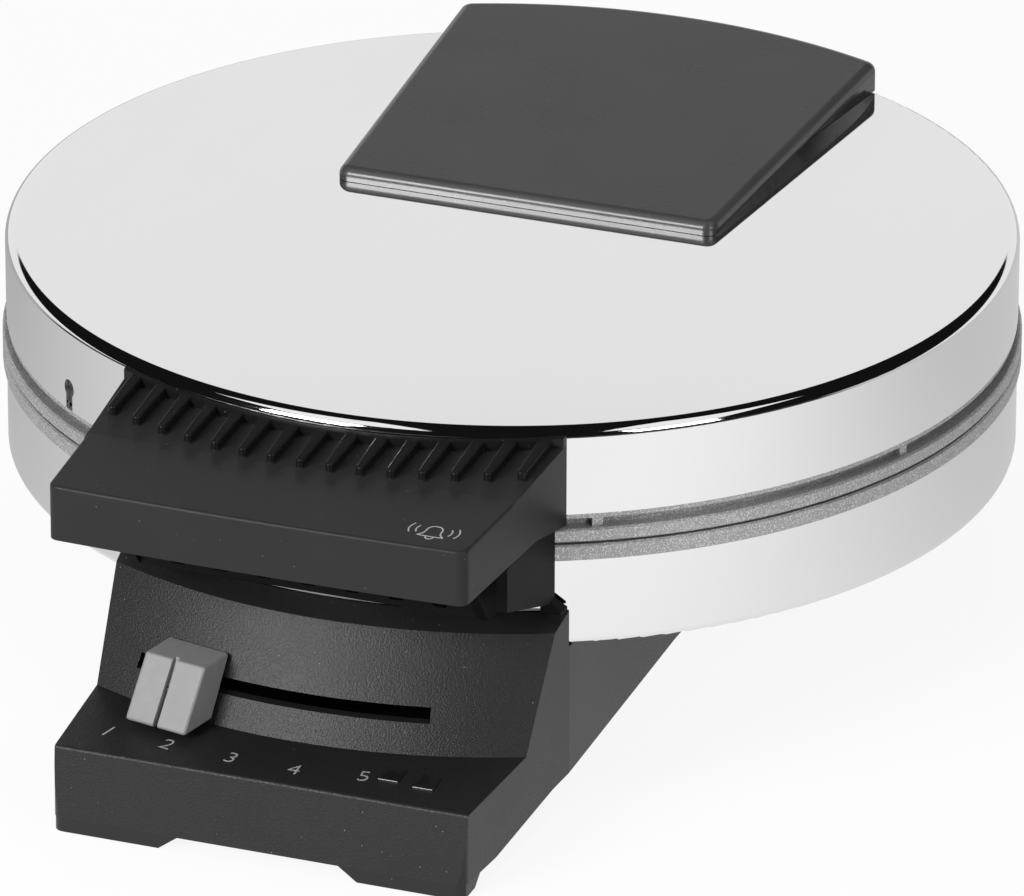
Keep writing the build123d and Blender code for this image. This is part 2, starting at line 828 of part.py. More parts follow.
with BuildPart() as base_housing:
    add(base_outside)
    # softened front edges of the step and of the wall's top
    step_edges = edges().filter_by(Axis.X).filter_by_position(
        Axis.Z, step_front_height - base_edge, step_front_height + base_edge)
    fillet(step_edges, base_edge)
    # hinge tower behind the round bodies
    with BuildSketch(level(arch_height)):
        with Locations((0, rear_reach)):
            Rectangle(2 * base_rear_half, rear_reach - base_taper_start,
                      align=(Align.CENTER, Align.MAX))
    extrude(amount=tower_top - arch_height)
    # room for the lower shell, and for both plates' flanges in front of the tower
    with BuildSketch(level(body_top)):
        Circle(pocket_radius)
    extrude(amount=ledge_height, mode=Mode.SUBTRACT)
    with BuildSketch(level(body_top)):
        Circle(tower_radius)
        with Locations((0, -base_flare_end / 2)):
            Rectangle(4 * base_half, 2 * base_flare_end, align=(Align.CENTER, Align.MAX),
                      mode=Mode.SUBTRACT)
    extrude(amount=ledge_height, mode=Mode.SUBTRACT)
    add(base_inside, mode=Mode.SUBTRACT)
    # the tower is hollow too
    with BuildSketch(level(-1)):
        with Locations((0, rear_reach - base_wall)):
            Rectangle(2 * (base_rear_half - base_wall),
                      rear_reach - tower_radius - 2 * base_wall, align=(Align.CENTER, Align.MAX))
    extrude(amount=tower_top - base_wall + 1, mode=Mode.SUBTRACT)
    # ears that hold the hinge pin, and the bar that stops the open lid
    ear_start = barrel_length / 2 + barrel_side_gap
    for place in (ear_start, -ear_start - ear_thickness):
        with BuildSketch(across(place)):
            with Locations((hinge_reach, hinge_height)):
                Circle(ear_radius)
            with Locations((hinge_reach, tower_top - base_wall / 2)):
                Rectangle(2 * ear_radius, hinge_height - tower_top + base_wall / 2,
                          align=(Align.CENTER, Align.MIN))
        extrude(amount=ear_thickness)
    with BuildSketch(level(tower_top - base_wall / 2)):
        with Locations((0, rear_reach)):
            Rectangle(2 * base_rear_half, stop_depth, align=(Align.CENTER, Align.MAX))
    extrude(amount=stop_height - tower_top + base_wall / 2)
    with BuildSketch(across(-base_half)):
        with Locations((hinge_reach, hinge_height)):
            Circle(pin_radius + pin_fit)
    extrude(amount=2 * base_half, mode=Mode.SUBTRACT)
    # slot for the slider's lever, about the axis
    with BuildSketch(radial(slot_turns[0])):
        with Locations(((wall_top_radius + wall_foot_radius) / 2, slot_middle)):
            Rectangle(4 * base_wall + wall_foot_radius - wall_top_radius, slot_height)
    revolve(axis=axis, revolution_arc=slot_turns[1], mode=Mode.SUBTRACT)
    # windows for the two signal lamps
    with BuildSketch(level(step_rear_height + 1)):
        for x, reach in lamp_places:
            with Locations((x, -reach)):
                Rectangle(lens_width + 2 * lens_fit, lens_depth + 2 * lens_fit)
    extrude(amount=-3 * base_wall, mode=Mode.SUBTRACT)
    # holes in the top for the spindle, the heater's legs and the tie bolts
    with BuildSketch(level(body_top + 1)):
        Circle(spindle_radius + pass_clearance)
        with Locations(*leg_places):
            Circle(element_radius + pass_clearance)
        with Locations(*tie_places):
            Circle(tie_bolt_radius + pass_clearance / 4)
    extrude(amount=-base_wall - 2, mode=Mode.SUBTRACT)
    # hole for the cord's gland in the back wall
    with BuildSketch(Plane((0, axis_y + rear_reach + 1, gland_height), x_dir=(1, 0, 0),
                           z_dir=(0, -1, 0))):
        Circle(gland_radius + seat_gap)
    extrude(amount=2 * base_wall, mode=Mode.SUBTRACT)
    # bosses for the bottom cover's screws, with blind holes
    for x, y in base_screw_places:
        boss_foot = underside_height(y) + cover_sheet + cover_gap
        with BuildSketch(level(boss_foot)):
            with Locations((x, y), (-x, y)):
                Circle(base_boss_radius)
        extrude(amount=body_top - base_wall / 2 - boss_foot)
        with BuildSketch(level(boss_foot)):
            with Locations((x, y), (-x, y)):
                Circle(screw_radius + seat_gap)
        extrude(amount=screw_length, mode=Mode.SUBTRACT)
save(base_housing, "base_housing")

# Bottom cover: a sheet inside the housing's walls, flush with its underside
with BuildPart() as base_cover:
    reach_front = -base_front + base_wall + cover_gap
    reach_rear = rear_reach - base_wall - cover_gap
    with BuildSketch(across(-base_half)):
        with BuildLine():
            low = [(y, z) for y, z in underside[1:-1]]
            line = [(reach_front, foot_height)] + low + [(reach_rear, arch_height)]
            Polyline(*line, *[(y, z + cover_sheet) for y, z in reversed(line)], close=True)
        make_face()
    extrude(amount=2 * base_half)
    with BuildSketch(level(-1)):
        with BuildLine():
            Polyline(*base_plan(base_wall + cover_gap), close=True)
        make_face()
    extrude(amount=rear_reach, mode=Mode.INTERSECT)
    with BuildSketch(level(-1)):
        for x, y in base_screw_places:
            with Locations((x, y), (-x, y)):
                Circle(screw_radius + cover_gap)
    extrude(amount=rear_reach, mode=Mode.SUBTRACT)
    # posts that carry the control board
    with BuildSketch(level(foot_height + cover_sheet / 2)):
        with Locations((board_post_spread, -board_reach), (-board_post_spread, -board_reach)):
            Circle(board_post_radius)
    extrude(amount=board_height - foot_height - cover_sheet / 2)
save(base_cover, "base_cover")

with BuildPart() as base_screws:
    for x, y in base_screw_places:
        under = underside_height(y)
        with BuildSketch(level(under - screw_head_height)):
            with Locations((x, y), (-x, y)):
                Circle(screw_head_radius)
        extrude(amount=screw_head_height - slope_room)
        with BuildSketch(level(under - screw_head_height)):
            with Locations((x, y), (-x, y)):
                Circle(screw_radius)
        extrude(amount=screw_head_height + cover_sheet + screw_length - 1)
save(base_screws, "base_screws")

# Front feet: two low blocks under the front edge, bevelled inwards and backwards
with BuildPart() as front_feet:
    for hand in (1, -1):
        outer = hand * (base_front_half - foot_inset)
        inner = hand * (base_front_half - foot_inset - foot_width)
        with BuildSketch(level(foot_height)):
            with BuildLine():
                Polyline(
                    (outer, -base_front + foot_inset), (outer, -base_front + foot_depth + foot_bevel),
                    (inner - hand * foot_bevel, -base_front + foot_depth + foot_bevel),
                    (inner - hand * foot_bevel, -base_front + foot_inset), close=True,
                )
            make_face()
        with BuildSketch(level(0)):
            with BuildLine():
                Polyline(
                    (outer, -base_front + foot_inset), (outer, -base_front + foot_depth),
                    (inner, -base_front + foot_depth),
                    (inner, -base_front + foot_inset), close=True,
                )
            make_face()
        loft()
    with BuildSketch(level(0)):
        with BuildLine():
            Polyline(*base_plan(foot_inset), close=True)
        make_face()
        fillet(vertices().group_by(Axis.Y)[0], base_corner)
    extrude(amount=foot_height, mode=Mode.INTERSECT)
save(front_feet, "front_feet")

with BuildPart() as rear_feet:
    with BuildSketch(level(0)):
        with Locations((rear_foot_spread, rear_foot_reach), (-rear_foot_spread, rear_foot_reach)):
            Circle(rear_foot_radius)
    extrude(amount=arch_height, taper=-2)
save(rear_feet, "rear_feet")

# Gland for the mains lead in the back wall
back = Plane((0, axis_y + rear_reach, gland_height), x_dir=(-1, 0, 0), z_dir=(0, 1, 0))
with BuildPart() as cord_gland:
    with BuildSketch(Plane(back.origin - Vector(0, base_wall + 2, 0), x_dir=(-1, 0, 0),
                           z_dir=(0, 1, 0))):
        Circle(gland_radius)
        Circle(gland_bore, mode=Mode.SUBTRACT)
    extrude(amount=base_wall + 2 - gland_sink)
save(cord_gland, "cord_gland")

# Slider: spindle and lever turn about the axis, the grey knob rides on the lever's end
knob_plane = radial(knob_angle - 90)
knob_across = Plane(knob_plane.origin, x_dir=knob_plane.x_dir, z_dir=(0, 0, 1))
with BuildPart() as thermostat_spindle:
    with BuildSketch(level(spindle_foot)):
        Circle(spindle_radius)
    extrude(amount=thermostat_foot + spindle_engage - pass_clearance / 4 - spindle_foot)
save(thermostat_spindle, "thermostat_spindle")

with BuildPart() as slider_lever:
    lever_under = slot_middle - lever_thickness / 2
    with BuildSketch(Plane(knob_across.origin + Vector(0, 0, lever_under),
                           x_dir=knob_plane.x_dir, z_dir=(0, 0, 1))):
        with Locations((lever_reach / 2, 0)):
            Rectangle(lever_reach, lever_width)
        Circle(lever_hub_radius)
        Circle(spindle_radius + spindle_fit, mode=Mode.SUBTRACT)
    extrude(amount=lever_thickness)
    with BuildSketch(level(lever_under - lever_thickness / 2)):
        Circle(lever_hub_radius)
        Circle(spindle_radius + spindle_fit, mode=Mode.SUBTRACT)
    extrude(amount=2 * lever_thickness)
save(slider_lever, "slider_lever")

with BuildPart() as temperature_knob:
    with BuildSketch(Plane(knob_plane.origin, x_dir=knob_plane.x_dir, z_dir=knob_plane.z_dir)):
        with BuildLine():
            Polyline(
                (knob_foot_reach, knob_foot_height), (knob_top_reach, knob_top_height),
                (wall_radius(knob_top_height) + knob_wall_gap, knob_top_height),
                (wall_radius(knob_foot_height) + knob_wall_gap, knob_foot_height), close=True,
            )
        make_face()
    extrude(amount=knob_width / 2, both=True)
    fillet(edges(), knob_edge)
    # groove down the middle of the front face
    with BuildSketch(Plane(knob_plane.origin, x_dir=knob_plane.x_dir, z_dir=knob_plane.z_dir)):
        with BuildLine():
            Polyline(
                (knob_foot_reach + 1, knob_foot_height - 1),
                (knob_top_reach + 1, knob_top_height + 1),
                (knob_top_reach - knob_groove_depth - 1, knob_top_height + 1),
                (knob_foot_reach - knob_groove_depth - 1, knob_foot_height - 1), close=True,
            )
        make_face()
    extrude(amount=knob_groove_width / 2, both=True, mode=Mode.SUBTRACT)
    # socket for the lever's end
    with BuildSketch(Plane(knob_across.origin + Vector(0, 0, lever_under - lever_fit),
                           x_dir=knob_plane.x_dir, z_dir=(0, 0, 1))):
        with Locations((wall_foot_radius, 0)):
            Rectangle(2 * (lever_reach + lever_fit - wall_foot_radius), lever_width + 2 * lever_fit)
    extrude(amount=lever_thickness + 2 * lever_fit, mode=Mode.SUBTRACT)
save(temperature_knob, "temperature_knob")

# Control board on its posts, with the signal lamps and the sounder
with BuildPart() as control_board:
    with BuildSketch(level(board_height)):
        with Locations((0, -board_reach)):
            Rectangle(board_length, board_depth)
    extrude(amount=board_sheet)
save(control_board, "control_board")

board_top = board_height + board_sheet
with BuildPart() as signal_sounder:
    with BuildSketch(level(board_top)):
        with Locations((buzzer_x, -board_reach)):
            Circle(buzzer_radius)
            Circle(buzzer_radius / 4, mode=Mode.SUBTRACT)
    extrude(amount=buzzer_height)
save(signal_sounder, "signal_sounder")


def step_height(y):
    """Height of the sloping step at a place along Y."""
    share = (y + step_front) / (step_front - step_rear)
    return step_front_height + share * (step_rear_height - step_front_height)


for (x, reach), name in zip(lamp_places, ("heating", "ready")):
    top = step_height(-reach)
    with BuildPart() as lens:
        with BuildSketch(level(top + lens_stand)):
            with Locations((x, -reach)):
                Rectangle(lens_width, lens_depth)
        extrude(amount=-lens_length)
        fillet(lens.edges().group_by(Axis.Z)[-1], lens_stand)
    save(lens, f"{name}_lamp_lens")
    with BuildPart() as lamp:
        with BuildSketch(level(board_top)):
            with Locations((x, -reach)):
                Circle(lamp_radius)
        extrude(amount=top + lens_stand - lens_length - seat_gap - board_top)
        fillet(lamp.edges().group_by(Axis.Z)[-1], lamp_radius / 2)
    save(lamp, f"{name}_lamp")

# Terminal block on the bottom cover, and the leads to the lower element's legs
terminal_foot = arch_height + cover_sheet + seat_gap
with BuildPart() as terminal_block:
    with BuildSketch(level(terminal_foot)):
        with Locations((0, terminal_reach)):
            Rectangle(terminal_length, terminal_depth)
    extrude(amount=terminal_height)
    fillet(terminal_block.edges().filter_by(Axis.Z), 1)
save(terminal_block, "terminal_block")


def leads(start_z, places, corner_z, ends, bend):
    """Two insulated leads, each from a heater's leg back through its end points."""
    with BuildPart() as pair:
        for x, y in places:
            with BuildLine():
                FilletPolyline(
                    (x, axis_y + y, start_z), (x, axis_y + y, corner_z),
                    *[(x, axis_y + reach, height) for reach, height in ends], radius=bend,
                )
            with BuildSketch(Plane((x, axis_y + y, start_z))):
                Circle(lead_radius)
            sweep()
    return pair


leg_foot = lower_shell_bottom - leg_stick
lead_run = leg_foot - lead_drop
lead_ends = ((terminal_reach, lead_run),
             (terminal_reach, terminal_foot + terminal_height + seat_gap))
lower_leads = leads(leg_foot - seat_gap, leg_places, lead_run, lead_ends, lead_bend)
save(lower_leads, "lower_leads")

# Hinge pin through both ears, held by a clip at each end; it is a tube that the leads pass
with BuildPart() as hinge_pin:
    pin_half = ear_start + ear_thickness + 2 * clip_sheet
    with BuildSketch(across(-pin_half)):
        with Locations((hinge_reach, hinge_height)):
            Circle(pin_radius)
            Circle(pin_bore_radius, mode=Mode.SUBTRACT)
    extrude(amount=2 * pin_half)
save(hinge_pin, "hinge_pin")

with BuildPart() as pin_clips:
    clip_place = ear_start + ear_thickness + seat_gap
    for place in (clip_place, -clip_place - clip_sheet):
        with BuildSketch(across(place)):
            with Locations((hinge_reach, hinge_height)):
                Circle(clip_radius)
                Circle(pin_radius + pin_fit, mode=Mode.SUBTRACT)
        extrude(amount=clip_sheet)
save(pin_clips, "pin_clips")

with BuildPart() as hinge_bushes:
    for place in (-barrel_length / 2, barrel_length / 2 - bush_length):
        with BuildSketch(across(place)):
            with Locations((hinge_reach, hinge_height)):
                Circle(pin_radius + barrel_fit + bush_wall)
                Circle(pin_radius + barrel_fit, mode=Mode.SUBTRACT)
        extrude(amount=bush_length)
save(hinge_bushes, "hinge_bushes")

# Hinge arm: from the barrel up behind the shell and forward under the rear cover
plate_under = shell_top + seat_gap
plate_over = plate_under + yoke_plate
arm_front = shell_radius + yoke_shell_gap
with BuildPart() as hinge_arm:
    with BuildSketch(across(-barrel_length / 2)):
        with BuildLine():
            Polyline(
                (arm_front, hinge_height - 1), (arm_front, plate_under),
                (yoke_front, plate_under), (yoke_front, plate_over),
                (arm_front - 4, plate_over), (arm_front + 2, plate_over - 1),
                (arm_front + yoke_thickness, shell_top - yoke_thickness),
                (hinge_reach - barrel_radius / 2, hinge_height + barrel_radius - 1),
                (hinge_reach, hinge_height), (hinge_reach - barrel_radius + 1, hinge_height - 3),
                close=True,
            )
        make_face()
        with Locations((hinge_reach, hinge_height)):
            Circle(barrel_radius)
    extrude(amount=barrel_length)
    with BuildSketch(level(plate_under)):
        with Locations((0, yoke_front)):
            Rectangle(2 * yoke_plate_half, yoke_plate_length, align=(Align.CENTER, Align.MIN))
    extrude(amount=yoke_plate)
    with BuildSketch(across(-barrel_length)):
        with Locations((hinge_reach, hinge_height)):
            Circle(pin_radius + barrel_fit + bush_wall + pin_fit)
    extrude(amount=2 * barrel_length, mode=Mode.SUBTRACT)
    with BuildSketch(level(plate_under - 1)):
        with Locations(*tie_places[:2]):
            Circle(tie_bolt_radius + pass_clearance / 4)
        with Locations(*cover_screw_places):
            Circle(screw_radius + pass_clearance / 4)
    extrude(amount=yoke_plate + 2, mode=Mode.SUBTRACT)
    # short bores where the leads end
    with BuildSketch(outward(180)):
        with Locations(*[(x, upper_lead_height) for x, y in leg_places]):
            Circle(lead_radius + seat_gap)
    extrude(amount=arm_front + upper_lead_depth + seat_gap, mode=Mode.SUBTRACT)
save(hinge_arm, "hinge_arm")

# Bolts from the plates: the lower ones end under the base's top, the upper ones on the arm
lower_tie_bolts = tie_bolts(lower_far_side - seat_gap,
                            body_top - base_wall - seat_gap - tie_nut_height, tie_places, False)
save(lower_tie_bolts, "lower_tie_bolts")

upper_tie_bolts = tie_bolts(upper_far_side + seat_gap,
                            plate_over + seat_gap + tie_nut_height, tie_places[:2], True)
save(upper_tie_bolts, "upper_tie_bolts")

# Leads to the upper element's legs, which end in the hinge arm
upper_leads = leads(upper_leg_top + seat_gap, leg_places, upper_lead_height,
                    ((arm_front + upper_lead_depth, upper_lead_height),), upper_lead_bend)
save(upper_leads, "upper_leads")


cover_bottom = shell_top + seat_gap
cover_slope = (cover_rear_height - cover_front_height) / (cover_rear_reach - cover_front_reach)


def cover_height(y):
    """Height of the rear cover's sloping top above the shell, at a place along Y."""
    return cover_front_height + cover_slope * (y - cover_front_reach)


def cover_side(y):
    """Half width of the rear cover at a place along Y."""
    share = (y - cover_front_reach) / (cover_rear_reach - cover_front_reach)
    return cover_front_half + share * (cover_rear_half - cover_front_half)


def hood_form(inset, squeeze, rounding):
    """The rear cover's form, moved inwards by the inset, and its sides by the squeeze too."""
    front, rear = cover_front_reach + inset, cover_rear_reach - inset
    front_x, rear_x = cover_front_half - inset - squeeze, cover_rear_half - inset - squeeze
    far = 2 * cover_rear_reach
    with BuildPart() as form:
        with BuildSketch(level(cover_bottom)):
            with BuildLine():
                Polyline((rear_x, rear), (front_x, front), (-front_x, front), (-rear_x, rear))
                ThreePointArc((-rear_x, rear), (0, rear + cover_rear_bulge), (rear_x, rear))
            make_face()
            fillet(vertices(), cover_corner)
        extrude(amount=2 * cover_rear_height)
        with BuildSketch(across(-2 * cover_rear_half)):
            with BuildLine():
                Polyline(
                    (0, cover_bottom), (0, shell_top + cover_height(0) - inset),
                    (far, shell_top + cover_height(far) - inset), (far, cover_bottom), close=True,
                )
            make_face()
        extrude(amount=4 * cover_rear_half, mode=Mode.INTERSECT)
        if rounding:
            fillet(form.faces().sort_by(Axis.Z)[-1].edges(), rounding)
    return form.part


# Rear cover: a low hood that is screwed down through the shell's top
hood_outside = hood_form(0, 0, cover_edge)
hood_inside = hood_form(cover_shell, cover_tuck, 0)
with BuildPart() as rear_cover:
    add(hood_outside)
    # both sides are drawn in at the foot, most at the waist
    for hand in (1, -1):
        with BuildPart(mode=Mode.PRIVATE) as scoop:
            for y, tuck in ((0, 0), (cover_waist_reach, cover_tuck), (cover_rear_reach, 0)):
                side = cover_side(y)
                rim = shell_top + cover_height(y) - cover_edge
                with BuildSketch(Plane((0, axis_y + y, 0), x_dir=(1, 0, 0), z_dir=(0, -1, 0))):
                    with BuildLine():
                        Polyline(
                            (hand * (side + scoop_start), rim), (hand * (side - tuck), shell_top),
                            (hand * (side + scoop_start), shell_top), close=True,
                        )
                    make_face()
            loft(ruled=True)
        add(scoop.part, mode=Mode.SUBTRACT)
    add(hood_inside, mode=Mode.SUBTRACT)
    # opening at the back for the hinge arm
    with BuildSketch(level(cover_bottom)):
        with Locations((0, cover_rear_reach)):
            Rectangle(barrel_length + 2 * barrel_side_gap, 3 * cover_rear_bulge)
    extrude(amount=yoke_plate + 2 * seat_gap, mode=Mode.SUBTRACT)
    # bosses for the screws, with blind holes
    boss_height = cover_height(cover_screw_reach) - cover_shell / 2 - yoke_plate - 2 * seat_gap
    for x, y in cover_screw_places:
        with BuildSketch(level(plate_over + seat_gap)):
            with Locations((x, y)):
                Circle(base_boss_radius)
        extrude(amount=boss_height)
        with BuildSketch(level(plate_over + seat_gap)):
            with Locations((x, y)):
                Circle(screw_radius + seat_gap)
        extrude(amount=cover_screw_hold, mode=Mode.SUBTRACT)
save(rear_cover, "rear_cover")

with BuildPart() as cover_screws:
    with BuildSketch(level(upper_sheet_face - seat_gap - screw_head_height)):
        with Locations(*cover_screw_places):
            Circle(screw_head_radius)
    extrude(amount=screw_head_height)
    with BuildSketch(level(upper_sheet_face - seat_gap)):
        with Locations(*cover_screw_places):
            Circle(screw_radius)
    extrude(amount=plate_over + cover_screw_hold - slope_room - upper_sheet_face)
save(cover_screws, "cover_screws")

# Spring clip behind the keyhole, against the inside of the upper shell
with BuildPart() as shell_clip:
    with BuildSketch(radial(keyhole_angle - 90 - clip_turn)):
        with Locations((shell_radius - shell_sheet - seat_gap, upper_rim + pass_clearance)):
            Rectangle(shell_sheet, clip_height, align=(Align.MAX, Align.MIN))
    revolve(axis=axis, revolution_arc=2 * clip_turn)
save(shell_clip, "shell_clip")


def grip_form(inset):
    """The grip's form, moved inwards by the inset; the hollow one is open below."""
    front = -front_reach + inset
    corner = front + grip_bulge
    slope = (grip_top_rear - grip_top_front) / (front_reach - grip_rear_reach)
    drop = min(inset, 0) - (2 * grip_wall if inset > 0 else 0)
    with BuildPart() as form:
        with BuildSketch(across(-2 * grip_rear_half)):
            with BuildLine():
                Polyline(
                    (-2 * front_reach, grip_top_front - slope * front_reach - inset),
                    (-2 * front_reach, grip_bottom + drop),
                    (-grip_bevel_start, grip_bottom + drop),
                    (-grip_rear_reach, grip_rear_bottom + drop),
                    (-grip_inner_reach, grip_rear_bottom + drop),
                    (-grip_inner_reach,
                     grip_top_rear + slope * (grip_rear_reach - grip_inner_reach) - inset),
                    close=True,
                )
            make_face()
        extrude(amount=4 * grip_rear_half)
        with BuildSketch(level(0)):
            with BuildLine():
                Line((-grip_front_half + inset, corner), (-grip_rear_half + inset, -grip_rear_reach))
                Line((-grip_rear_half + inset, -grip_rear_reach),
                     (-grip_rear_half + inset, -grip_inner_reach))
                Line((-grip_rear_half + inset, -grip_inner_reach),
                     (grip_rear_half - inset, -grip_inner_reach))
                Line((grip_rear_half - inset, -grip_inner_reach),
                     (grip_rear_half - inset, -grip_rear_reach))
                Line((grip_rear_half - inset, -grip_rear_reach), (grip_front_half - inset, corner))
                ThreePointArc((grip_front_half - inset, corner), (0, front),
                              (-grip_front_half + inset, corner))
            make_face()
            if inset <= 0:
                fillet(vertices().group_by(Axis.Y)[0], grip_corner)
        extrude(amount=2 * grip_top_rear, mode=Mode.INTERSECT)
        with BuildSketch(level(0)):
            Circle(grip_radius + inset)
        extrude(amount=2 * grip_top_rear, mode=Mode.SUBTRACT)
    return form.part


# Grip: a hollow cover open below, with a comb of cooling ribs towards the shell
grip_outside = grip_form(0)
grip_inside = grip_form(grip_wall)
with BuildPart() as grip_ribs:
    with BuildSketch(level(rib_foot)):
        for count in range(rib_count):
            x = (count - rib_count // 2) * rib_pitch
            tip = -math.sqrt(rib_tip_radius**2 - x**2)
            root = -math.sqrt(grip_radius**2 - x**2)
            with BuildLine():
                Polyline(
                    (x - rib_tip_width / 2, tip), (x + rib_tip_width / 2, tip),
                    (x + rib_root_width / 2, root), (x - rib_root_width / 2, root), close=True,
                )
            make_face()
            with Locations((x, tip)):
                Circle(rib_tip_width / 2)
        Circle(grip_radius + rib_back_wall)
        Circle(grip_radius, mode=Mode.SUBTRACT)
        with Locations((0, -grip_rear_reach + 1)):
            Rectangle(4 * grip_rear_half, 4 * grip_rear_half, align=(Align.CENTER, Align.MIN),
                      mode=Mode.SUBTRACT)
    extrude(amount=2 * rib_height + rib_rise)
    with BuildSketch(across(-2 * grip_rear_half)):
        with BuildLine():
            Polyline(
                (-rib_tip_radius - rib_tip_width, rib_foot),
                (-rib_tip_radius - rib_tip_width, rib_tip_top),
                (-grip_rear_reach, rib_root_top),
                (-grip_rear_reach, rib_foot), close=True,
            )
        make_face()
    extrude(amount=4 * grip_rear_half, mode=Mode.INTERSECT)
    fillet(grip_ribs.faces().sort_by(Axis.Z)[-1].edges().filter_by(GeomType.LINE), rib_edge)
    # floor between the ribs, rising with them to the shell
    with BuildSketch(across(-grip_rear_half)):
        with BuildLine():
            Polyline(
                (-rib_tip_radius - rib_tip_width, rib_foot),
                (-rib_tip_radius - rib_tip_width, rib_tip_top - rib_depth),
                (-grip_rear_reach, rib_root_top - rib_depth),
                (-grip_rear_reach, rib_foot), close=True,
            )
        make_face()
    extrude(amount=2 * grip_rear_half)
    with BuildSketch(level(rib_foot)):
        Circle(grip_radius)
    extrude(amount=4 * rib_height, mode=Mode.SUBTRACT)
    # floor and back wall end flush with the grip's sides
    with BuildSketch(level(rib_foot)):
        with BuildLine():
            Polyline(
                (grip_rear_half, -grip_rear_reach), (-grip_rear_half, -grip_rear_reach),
                (-grip_front_half, grip_bulge - front_reach),
                (grip_front_half, grip_bulge - front_reach), close=True,
            )
        make_face()
    extrude(amount=4 * rib_height, mode=Mode.INTERSECT)

with BuildPart() as grip:
    add(grip_outside)
    fillet(grip.faces().sort_by(Axis.Z)[-1].edges(), grip_edge)
    add(grip_ribs.part)
    add(grip_inside, mode=Mode.SUBTRACT)
    for x in (grip_screw_spread, -grip_screw_spread):
        with BuildSketch(level(bracket_foot + bracket_sheet + seat_gap)):
            with Locations((x, -grip_screw_reach)):
                Circle(base_boss_radius)
        extrude(amount=grip_top_front - grip_wall / 2 - bracket_foot - bracket_sheet)
        with BuildSketch(level(bracket_foot + bracket_sheet + seat_gap)):
            with Locations((x, -grip_screw_reach)):
                Circle(screw_radius + seat_gap)
        extrude(amount=grip_screw_hold, mode=Mode.SUBTRACT)
    # holes in the back wall for the bracket's bolts
    with BuildSketch(outward(0)):
        with Locations((bracket_bolt_spread, bracket_bolt_height),
                       (-bracket_bolt_spread, bracket_bolt_height)):
            Circle(screw_radius + seat_gap)
    extrude(amount=grip_bevel_start + grip_wall, mode=Mode.SUBTRACT)
save(grip, "grip")

# Bracket inside the grip: its leg lies on the grip's floor, its tab is bolted to the shell
with BuildPart() as grip_bracket:
    with BuildSketch(level(bracket_foot)):
        with Locations((0, -bracket_front)):
            Rectangle(2 * bracket_half, bracket_front - bracket_tab_reach,
                      align=(Align.CENTER, Align.MIN))
        with Locations((grip_screw_spread, -grip_screw_reach),
                       (-grip_screw_spread, -grip_screw_reach)):
            Circle(screw_radius + seat_gap, mode=Mode.SUBTRACT)
    extrude(amount=bracket_sheet)
    with BuildSketch(level(bracket_foot)):
        with Locations((0, -bracket_tab_reach)):
            Rectangle(2 * bracket_tab_half, bracket_sheet, align=(Align.CENTER, Align.MAX))
    extrude(amount=bracket_tab_top - bracket_foot)
    with BuildSketch(outward(0)):
        with Locations((bracket_bolt_spread, bracket_bolt_height),
                       (-bracket_bolt_spread, bracket_bolt_height)):
            Circle(screw_radius + seat_gap)
    extrude(amount=bracket_front, mode=Mode.SUBTRACT)
save(grip_bracket, "grip_bracket")

with BuildPart() as bracket_bolts:
    head_reach = bracket_tab_reach + bracket_sheet + seat_gap
    with BuildSketch(outward(0).offset(head_reach)):
        with Locations((bracket_bolt_spread, bracket_bolt_height),
                       (-bracket_bolt_spread, bracket_bolt_height)):
            Circle(screw_head_radius)
    extrude(amount=screw_head_height)
    with BuildSketch(outward(0).offset(bracket_bolt_end)):
        with Locations((bracket_bolt_spread, bracket_bolt_height),
                       (-bracket_bolt_spread, bracket_bolt_height)):
            Circle(screw_radius)
    extrude(amount=head_reach - bracket_bolt_end)
save(bracket_bolts, "bracket_bolts")

with BuildPart() as bracket_nuts:
    with BuildSketch(outward(0).offset(bracket_nut_reach)):
        with Locations((bracket_bolt_spread, bracket_bolt_height),
                       (-bracket_bolt_spread, bracket_bolt_height)):
            RegularPolygon(tie_nut_radius, 6)
            Circle(screw_radius + seat_gap, mode=Mode.SUBTRACT)
    extrude(amount=-tie_nut_height)
save(bracket_nuts, "bracket_nuts")

# Grip base: the floor inside the grip and the skirt below it, which follows the flanges
grip_clear = grip_form(-cover_gap)
with BuildPart() as floor_plate:
    add(grip_form(grip_wall + cover_gap))
    with BuildSketch(level(floor_under)):
        Rectangle(4 * grip_rear_half, 4 * front_reach)
    extrude(amount=floor_top - floor_under, mode=Mode.INTERSECT)

